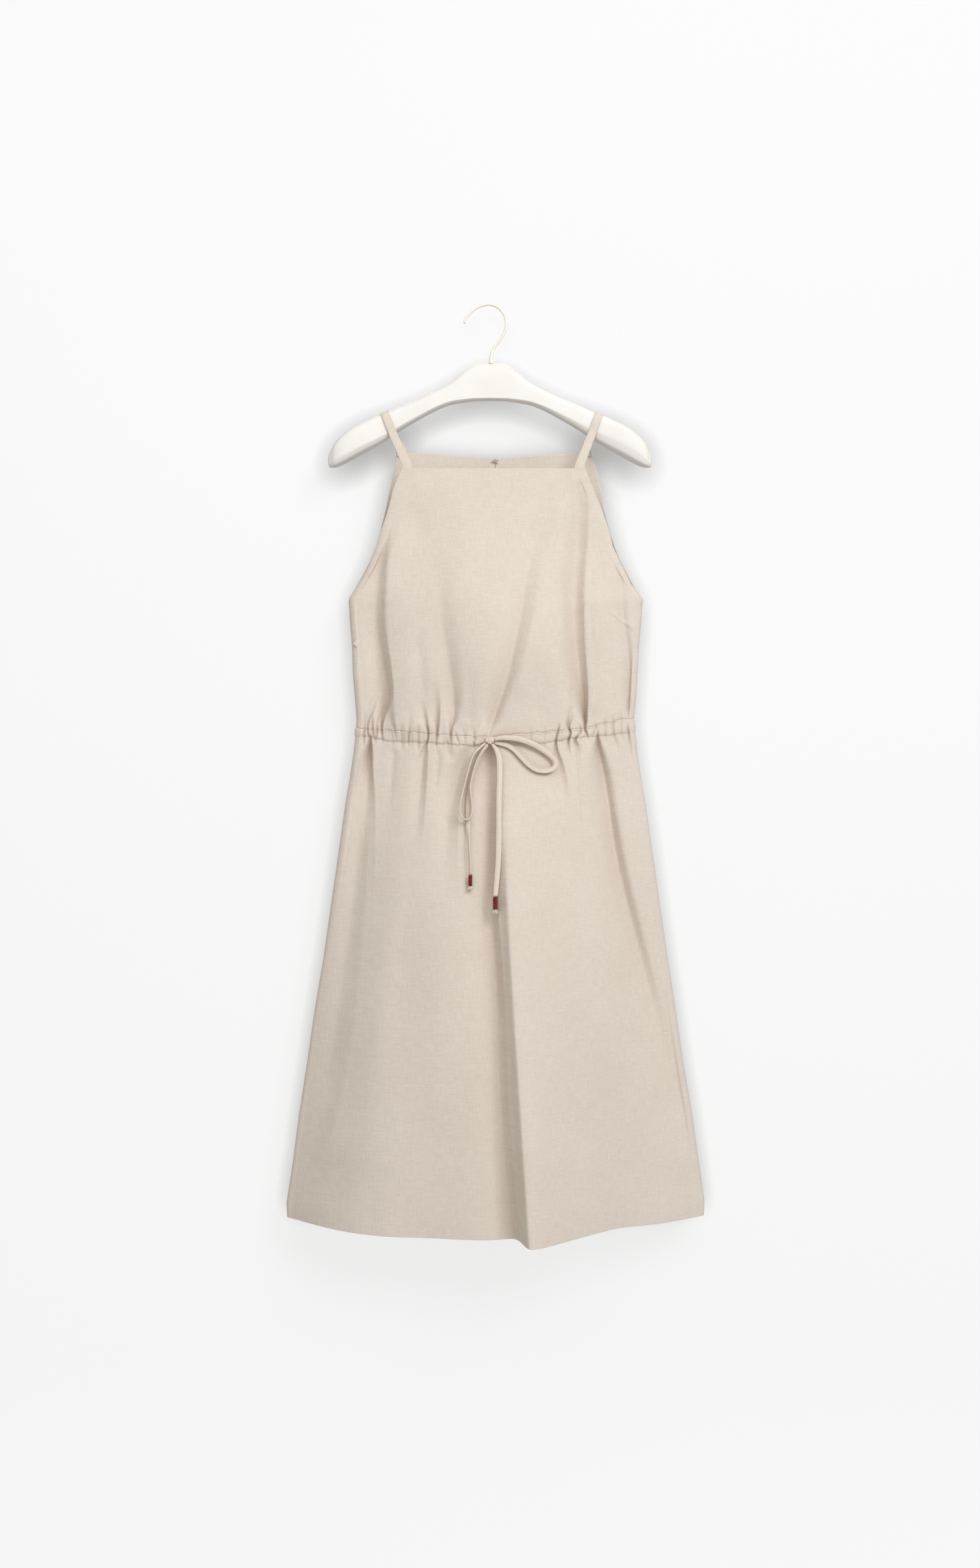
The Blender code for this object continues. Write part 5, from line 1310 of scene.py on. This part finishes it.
def make_whipping(side_name, end, length, diameter, tuft):
    """Thread wound round the end of a tie, and the frayed tuft below it."""
    x, drop, out = end[:3]
    top = FRONT.surface(x, drop, out + TIE_WALL / 2, folds=False)[0]
    rng = random.Random(TUFT_SEED + len(side_name))
    turns = round(length / THREAD)
    steps = np.linspace(0.0, turns * 2 * math.pi, turns * TURN_STEPS + 1)
    share = steps / steps[-1]
    wobble = sum(height * np.sin(steps * often) for height, often in WOBBLE)
    radius = (diameter - THREAD) / 2 + wobble - WHIPPING_TAPER * np.abs(2 * share - 1.0) ** 6
    height = WHIPPING_GAP + THREAD / 2 + (length - THREAD) * share
    helix = top + placed(radius * np.cos(steps), radius * np.sin(steps), height)
    core_drop = WHIPPING_GAP + np.array((CORE_INSET, length - CORE_INSET))
    core = top + placed(0 * core_drop, 0 * core_drop, core_drop)
    tubes = [(helix, THREAD * 0.54 * MM, 6), (core, (diameter / 2 - THREAD * 0.6) * MM, 16)]
    whipping = joined_tubes("wound_thread_" + side_name, tubes, THREAD_RED)
    hand_over(whipping, "thread_red", "whipping_" + side_name)
    strands = []
    start = WHIPPING_GAP + length - TUFT_HIDDEN
    for _ in range(TUFT_STRANDS):
        angle = rng.uniform(0.0, 2 * math.pi)
        spread = math.sqrt(rng.random())
        reach = (tuft + 1.5) * rng.uniform(0.72, 1.12)
        lean_x, lean_y = rng.uniform(-0.5, 0.5), rng.uniform(-0.5, 0.5)
        points = []
        for step in range(5):
            down = step / 4
            radius = diameter * spread * (0.34 + 0.42 * down**1.3)
            points.append((
                radius * math.cos(angle) + lean_x * down**2,
                radius * math.sin(angle) + lean_y * down**2,
                -start - reach * down,
            ))
        strands.append((top + np.array(points) * MM, TUFT_RADII * MM, 5))
    end_tuft = joined_tubes("frayed_tuft_" + side_name, strands, TUFT)
    hand_over(end_tuft, "tuft", "tuft_" + side_name)
    return whipping, end_tuft


def make_ties():
    """Bow of the drawstring: knot, two loops and two tails with whipped ends."""
    knot = make_knot()
    stub = make_tie("tie_stub", TIE_STUB, 12)[0]
    ends = {row[0]: make_whipping(*row) for row in WHIPPINGS}
    rows = (
        ("tie_loop_right", TIE_LOOP_RIGHT, 180, "object", (stub,)),
        ("tie_loop_left", TIE_LOOP_LEFT, 190, "object", (knot,)),
        ("tie_tail_left", TIE_TAIL_LEFT, 120, "bare", ends["left"]),
        ("tie_tail_right", TIE_TAIL_RIGHT, 130, "bare", ends["right"]),
    )
    for name, table, steps, far_end, others in rows:
        tie, path, length = make_tie(name, table, steps)
        width = max(row[3] for row in table) * MM
        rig.cord(
            tie, exit=path[0], length=length, diameter=width, far_end=far_end, stiffness="limp",
            lay="hanging", path=path, with_pieces=list(others),
        )


def seam_rows(length, top_depth, bottom_depth, rows):
    """How far each row of a panel is drawn in beside the seams at its two ends."""
    places = rows * length
    near_top = smooth(1.0 - places / SEAM_REACH)
    near_bottom = smooth(1.0 - (length - places) / SEAM_REACH)
    return -top_depth * near_top - bottom_depth * near_bottom


def make_panel(name, side, top, bottom, length, shares, top_depth, bottom_depth):
    proud = seam_rows(length, top_depth, bottom_depth, shares)
    points = side.points(*side.grid(top, bottom, shares, proud))
    shell = cloth_shell(name + "_cloth", points, CLOTH, LINEN, side.facing)
    return hand_over(shell, "linen", name)


def make_front_bodice():
    top = lambda x: np.full_like(np.asarray(x, float), FRONT_NECK_DROP)
    bottom = lambda x: FRONT.line(x, 1) + SEAM_LAP
    length = BODICE_FRONT_LENGTH
    shares = 1.0 - row_shares(length, BODICE_ROW_SPACING)[::-1]
    return make_panel("front_bodice", FRONT, top, bottom, length, shares, 0.0, BODICE_SEAM_DEPTH)


def slit_half_gap(drop):
    closed = SEAM_GAP / 2
    return closed + (SLIT_HALF_GAP - closed) * smooth((SLIT_END_DROP - drop) / SLIT_TAPER)


def make_back_bodice():
    """Two halves that meet at the centre-back seam, with the open slit above it."""
    top = lambda x: linear(BACK_NECK, x, 1)
    bottom = lambda x: BACK.line(x, 1) + SEAM_LAP
    length = BODICE_BACK_LENGTH
    shares = 1.0 - row_shares(length, BODICE_ROW_SPACING)[::-1]
    proud = seam_rows(length, 0.0, BODICE_SEAM_DEPTH, shares)
    x, drop, depth = BACK.grid(top, bottom, shares, proud)
    middle = len(x) // 2
    pieces = []
    for name, way in (("back_bodice_left", -1), ("back_bodice_right", 1)):
        columns = np.nonzero(way * (x[middle] - CENTRE_BACK) > CENTRE_CLEAR)[0]
        seam_drop = np.array([np.interp(CENTRE_BACK, x[row], drop[row]) for row in range(len(x))])
        seam_x = CENTRE_BACK + way * slit_half_gap(seam_drop)
        fraction = BACK.fraction_at(seam_x, seam_drop)
        seam_depth = BACK.depth(seam_x, seam_drop, fraction) + proud
        tables = []
        for values, seam in ((x, seam_x), (drop, seam_drop), (depth, seam_depth)):
            kept = values[:, columns]
            seam = seam[:, None]
            tables.append(np.hstack((kept, seam) if way < 0 else (seam, kept)))
        shell = cloth_shell(name + "_cloth", BACK.points(*tables), CLOTH, LINEN, BACK.facing)
        pieces.append(hand_over(shell, "linen", name))
    return pieces


def make_casing(name, side):
    top = lambda x: side.line(x, 1)
    bottom = lambda x: side.line(x, 2)
    length = CASING_LENGTH
    edge = np.array(CASING_EDGE_ROWS)
    places = np.concatenate((edge, CASING_INNER_ROWS, length - edge[::-1]))
    turn_top = CASING_TURN_TOP * np.exp(-((places / CASING_TURN_TOP_REACH) ** 2))
    from_bottom = (length - places) / CASING_TURN_BOTTOM_REACH
    turn = turn_top + CASING_TURN_BOTTOM * np.exp(-(from_bottom**2))
    puff = CASING_PUFF * np.sin(math.pi * places / length)
    points = side.points(*side.grid(top, bottom, places / length, CASING_PROUD + puff - turn))
    shell = cloth_shell(name + "_cloth", points, CASING_CLOTH, LINEN, side.facing)
    return hand_over(shell, "linen", name)


def make_skirt(name, side):
    top = lambda x: side.line(x, 2) - SEAM_LAP
    bottom = lambda x: side.line(x, 3)
    shares = row_shares(SKIRT_LENGTH, SKIRT_ROW_SPACING)
    return make_panel(name, side, top, bottom, SKIRT_LENGTH, shares, SKIRT_SEAM_DEPTH, 0.0)


def make_darts():
    """Bust darts, stitched flat: a soft welt with a sharp lower edge."""
    darts = []
    for name, path, height in DARTS:
        line = smooth_path([(x, drop, 0.0) for x, drop in path], DART_STEPS)[:, :2]
        along = unit(np.gradient(line, axis=0))
        normal = np.stack((-along[:, 1], along[:, 0]), axis=1)
        normal *= np.where(normal[:, 1:] > 0, 1, -1)
        share = np.linspace(0.0, 1.0, len(line))
        fade = smooth(share / 0.2) * smooth((1.0 - share) / 0.2)
        x = line[:, :1] + normal[:, :1] * DART_ACROSS * DART_WIDTH
        drop = line[:, 1:] + normal[:, 1:] * DART_ACROSS * DART_WIDTH
        out = fade[:, None] * DART_LIFT * height - DART_SUNK
        points = FRONT.surface(x.ravel(), drop.ravel(), out.ravel()).reshape(*x.shape, 3)
        if along[:, 0].mean() < 0:
            points = points[::-1]
        shell = cloth_shell(name, points, DART_CLOTH, LINEN, FRONT.facing)
        darts.append(hand_over(shell, "linen"))
    return darts


def stitch_line(name, side, drop_at, out, rng):
    """Row of short stitches along a seam, each sunk at its ends."""
    starts = np.arange(STITCH_START, STITCH_END - STITCH_LENGTH, STITCH_PITCH)
    offsets = np.array([(rng.uniform(-0.2, 0.2), rng.uniform(-0.12, 0.12)) for _ in starts])
    x = (starts + offsets[:, 0])[:, None] + np.linspace(0.0, STITCH_LENGTH, 5)
    drop = drop_at(x.ravel()) + np.repeat(offsets[:, 1], 5)
    lift = out + np.tile((-0.35, 0.0, 0.1, 0.0, -0.35), len(starts))
    points = side.surface(x.ravel(), drop, lift).reshape(len(starts), 5, 3)
    stitches = [(row, STITCH_THICK / 2 * MM, 6) for row in points]
    item = joined_tubes(name, stitches, THREAD_PALE)
    return hand_over(item, "thread_pale")


def make_stitches():
    """Stitching along the casing's two seams, front and back."""
    rng = random.Random(STITCH_SEED)
    made = {}
    for side, tag in ((FRONT, "front"), (BACK, "back")):
        rows = []
        for edge, index, offset in STITCH_ROWS:
            drop_at = lambda x: side.line(x, index) + offset
            name = f"casing_stitches_{tag}_{edge}"
            rows.append(stitch_line(name, side, drop_at, CASING_PROUD + 0.22, rng))
        made[tag] = rows
    return made


def make_neck_stitches():
    """Pale hand stitches just under the top edge of the back, on the inside."""
    rng = random.Random(NECK_SEED)
    stitches = []
    for start in NECK_STITCH_PLACES:
        x = start + np.linspace(0.0, NECK_STITCH_LENGTH, 4)
        drop = linear(BACK_NECK, x, 1) + NECK_STITCH_DROP + rng.uniform(-0.25, 0.25)
        inside = -CLOTH - np.array((-0.3, 0.12, 0.12, -0.3))
        stitches.append((BACK.surface(x, drop, inside), 0.22 * MM, 6))
    item = joined_tubes("neck_stitches", stitches, THREAD_PALE)
    return hand_over(item, "thread_pale")


def bar_sizes(x):
    """Hanger's size at places along the bar: top, front's lower edge, underside, front, back."""
    places = np.abs(np.atleast_1d(np.asarray(x, float)))
    share = weights(column(HANGER_SECTIONS, 0), places)
    sizes = share @ np.array([row[1:] for row in HANGER_SECTIONS], float)
    sizes[:, 1] -= linear(HANGER_RISE_RIGHT, np.atleast_1d(x), 1)
    return sizes


def hanger_ring(x, profile):
    """Outline across the bar at each x, from the crown forwards, in millimetres."""
    top, front_low, low, front, back = bar_sizes(x).T[:, :, None]
    reach, height, under = np.array(profile, float).T
    y = np.where(reach < 0, reach * front, reach * back)
    drop = top + height * (front_low - top) + under * (low - front_low)
    return np.stack((np.broadcast_to(np.atleast_1d(x)[:, None], y.shape), y, drop), axis=-1)


def make_hanger():
    """Moulded body: a smooth loft with a crisp lower edge on its front face."""
    last = HANGER_SECTIONS[-1][0]
    count = len(HANGER_PROFILE)
    spread = np.array(HANGER_PROFILE) * HANGER_SPREAD
    closed = np.vstack((spread, spread[:1]))
    span = np.concatenate(([0.0], np.cumsum(np.linalg.norm(np.diff(closed, axis=0), axis=1))))
    padded = np.concatenate((span[-4:-1] - span[-1], span, span[1:4] + span[-1]))
    around = np.concatenate([
        np.linspace(low, high, HANGER_SPAN_POINTS, endpoint=False) for low, high in zip(span, span[1:])
    ])
    share = weights(padded, around)
    order = np.arange(-3, count + 4) % count
    places = last * np.sin(np.linspace(-math.pi / 2, math.pi / 2, HANGER_STEPS + 1))
    even = np.linspace(-last, last, HANGER_STEPS + 1)
    places = HANGER_CROWDED * places + (1.0 - HANGER_CROWDED) * even
    rings = share @ hanger_ring(places, HANGER_PROFILE)[:, order]
    tip_x, tip_drop = HANGER_END
    ends = []
    for ring, way in ((rings[0], -1), (rings[-1], 1)):
        tip = np.array((way * tip_x, 0.0, tip_drop))
        caps = []
        for step in HANGER_CAPS:
            cap = tip + (ring - tip) * math.sqrt(1.0 - step**2)
            cap[:, 0] = ring[:, 0] + (tip[0] - ring[:, 0]) * step
            caps.append(cap)
        ends.append(caps)
    rings = np.array(ends[0][::-1] + list(rings) + ends[1])
    points = rings.reshape(-1, 3) * TO_METRES
    index = np.arange(len(points)).reshape(rings.shape[:2])
    faces = band(index) + [index[0].tolist(), index[-1, ::-1].tolist()]
    body = mesh_object("hanger_bar", points, faces, HANGER_WHITE)
    fix_normals(body)
    hand_over(body, "hanger_white", "hanger_body")


def make_hook():
    route = smooth_path([(x, 0.0, drop, share) for x, drop, share in HOOK_ROUTE], 170)
    points = placed(route[:, 0], 0 * route[:, 0], route[:, 2])
    radii = route[:, 3] * HOOK_WIRE / 2 * MM
    radii[-3:] *= (0.93, 0.78, 0.45)
    vertices, faces = round_tube(points, radii, 18)
    hook = mesh_object("hook", vertices, faces, WIRE_CREAM)
    fix_normals(hook)
    hand_over(hook, "wire_cream", "hanger_hook")


def strap_rows(top_x, front_x, back_x):
    """The strap's two edges, from inside the front's corner over the bar to the back's corner."""
    clear = STRAP_CLEARANCE + STRAP_WALL / 2
    rows = []
    edges = top_x + np.array((-0.5, 0.5)) * STRAP_TOP_WIDTH
    ring = hanger_ring(edges, HANGER_PROFILE)
    middle = (ring[:, BAR_FRONT] + ring[:, BAR_BACK]) / 2
    crown_drop = ring[:, BAR_CROWN, 2].mean()
    for index in STRAP_OVER_BAR:
        outward = ring[:, index] - middle
        outward[:, 0] = 0.0
        row = ring[:, index] + unit(outward) * clear
        front = row[0, 1] < 0
        corner_x, corner_drop = (front_x, FRONT_NECK_DROP) if front else (back_x, BACK_NECK[0][1])
        down = (row[:, 2].mean() - crown_drop) / (corner_drop - crown_drop)
        row[:, 0] += (corner_x - top_x) * max(down, 0.0)
        rows.append(row)
    ends = []
    for side, middle_x, neck in ((FRONT, front_x, FRONT_NECK_DROP), (BACK, back_x, None)):
        x = middle_x + np.array((-0.5, 0.5)) * STRAP_CORNER_WIDTH
        edge_drop = linear(BACK_NECK, x, 1) if neck is None else np.full(2, float(neck))
        end = []
        for below in STRAP_END_ROWS:
            drop = np.full(2, edge_drop.mean()) + below
            depth = side.depth_at(middle_x, edge_drop.mean(), STRAP_END_SHARE)
            depth -= CLOTH + STRAP_WALL / 2 + 0.2 if below > 0 else CLOTH
            end.append(np.stack((x, side.facing * np.full(2, depth), drop), axis=1))
        ends.append(end)
    front, back = ends
    return np.array(front + rows + back[::-1])


def make_straps():
    made = []
    for name, front_x, top_x, back_x in STRAPS:
        rows = strap_rows(top_x, front_x, back_x)
        flat = rows.reshape(len(rows), 6)
        middle = rows.mean(axis=1)
        table = np.hstack((middle, flat))
        path = smooth_path(table, 110)[:, 3:].reshape(-1, 2, 3)
        path = path * TO_METRES
        centre = path.mean(axis=1)
        inside = np.array((0.0, 0.0, -bar_sizes(top_x)[0, 1])) * MM
        outward = centre - inside
        outward[:, 0] = 0.0
        strap, _ = tape(name + "_cloth", path[:, 0], path[:, 1], STRAP_WALL, STRAP_SECTION, LINEN, outward)
        made.append(hand_over(strap, "linen", name))
    return made


def make_fastener():
    """Thread eye and hook inside the back neck, and the crossed threads that hold them."""
    depth_at = lambda drop: BACK.depth_at(CENTRE_BACK, drop, 0.5)
    rows = (("thread_eye", "neck_eye", EYE_ROUTE), ("dress_hook", "neck_hook", DRESS_HOOK_ROUTE))
    for name, node, table in rows:
        x, drop, lift = smooth_path(table, 30).T
        depth = np.array([depth_at(value) for value in drop]) - CLOTH - lift
        vertices, faces = round_tube(placed(CENTRE_BACK + x, depth, drop), FASTENER_RADIUS * MM, 10)
        item = mesh_object(name, vertices, faces, THREAD_PALE)
        hand_over(item, "thread_pale", node)
    crosses = []
    for start, end in CLOSURE_THREADS:
        share = np.linspace(0.0, 1.0, 7)
        x = CENTRE_BACK + start[0] + (end[0] - start[0]) * share
        drop = start[1] + (end[1] - start[1]) * share
        lift = 0.5 + 0.5 * np.sin(math.pi * share)
        depth = np.array([depth_at(value) for value in drop]) - CLOTH - lift
        crosses.append((placed(x, depth, drop), CLOSURE_RADIUS * MM, 6))
    hand_over(joined_tubes("closure_threads", crosses, THREAD_PALE), "thread_pale")


def make_cloth():
    """Every panel of the dress, each with the size of its flat cut."""
    stitches = make_stitches()
    darts = make_darts()
    front = make_front_bodice()
    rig.sheet(front, flat=BODICE_FRONT_FLAT, held="gathered", area=BODICE_FRONT_AREA, with_pieces=darts)
    for half in make_back_bodice():
        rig.sheet(half, flat=BODICE_BACK_FLAT, held="gathered", area=BODICE_BACK_AREA)
    for name, side, tag in (("casing_front", FRONT, "front"), ("casing_back", BACK, "back")):
        casing = make_casing(name, side)
        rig.sheet(casing, flat=CASING_FLAT, held="gathered", with_pieces=stitches[tag])
    for name, side in (("skirt_front", FRONT), ("skirt_back", BACK)):
        skirt = make_skirt(name, side)
        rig.sheet(skirt, flat=SKIRT_FLAT, held="gathered", area=SKIRT_AREA)
    for strap in make_straps():
        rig.sheet(strap, flat=STRAP_FLAT, held="hung", rests_on=["hanger_bar"])


def make_stage():
    """Pale wall close behind the dress, curving out into a floor."""
    profile = [(WALL_Y, WALL_TOP)]
    for step in range(WALL_BEND_STEPS + 1):
        angle = math.pi / 2 * step / WALL_BEND_STEPS
        y = WALL_Y - WALL_BEND + WALL_BEND * math.cos(angle)
        z = FLOOR_Z + WALL_BEND - WALL_BEND * math.sin(angle)
        profile.append((y, z))
    profile.append((FLOOR_END_Y, FLOOR_Z))
    vertices = [(x, y, z) for y, z in profile for x in (-WALL_HALF_WIDTH, WALL_HALF_WIDTH)]
    faces = [(2 * row + 1, 2 * row, 2 * row + 2, 2 * row + 3) for row in range(len(profile) - 1)]
    wall = mesh_object("backdrop", vertices, faces, backdrop_material())
    for kind in ("diffuse", "glossy", "transmission", "shadow"):
        setattr(wall, "visible_" + kind, False)
    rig.stage(wall)


def make_lights():
    world = bpy.data.worlds.new("studio")
    world.use_nodes = True
    background = world.node_tree.nodes["Background"]
    background.inputs["Color"].default_value = ROOM_COLOUR
    background.inputs["Strength"].default_value = ROOM_STRENGTH
    bpy.context.scene.world = world
    for name, place, size, energy in LIGHTS:
        light = bpy.data.lights.new(name, "AREA")
        light.size = size
        light.energy = energy
        light.color = LIGHT_COLOUR
        item = bpy.data.objects.new(name, light)
        item.location = place
        aim = Vector(LIGHT_AIM) - Vector(place)
        item.rotation_euler = aim.to_track_quat("-Z", "Y").to_euler()
        bpy.context.scene.collection.objects.link(item)
    bpy.context.scene.view_settings.view_transform = "Standard"


def write_size():
    def plain(box):
        return [[float(value) for value in corner] for corner in box]

    with open(SIZE_FILE, "w") as file:
        json.dump({"cad": plain(cad_box), "visual": plain(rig.bounds())}, file)


set_camera()
make_ties()
make_cloth()
make_neck_stitches()
make_fastener()
make_hanger()
make_hook()
make_stage()
make_lights()
write_size()
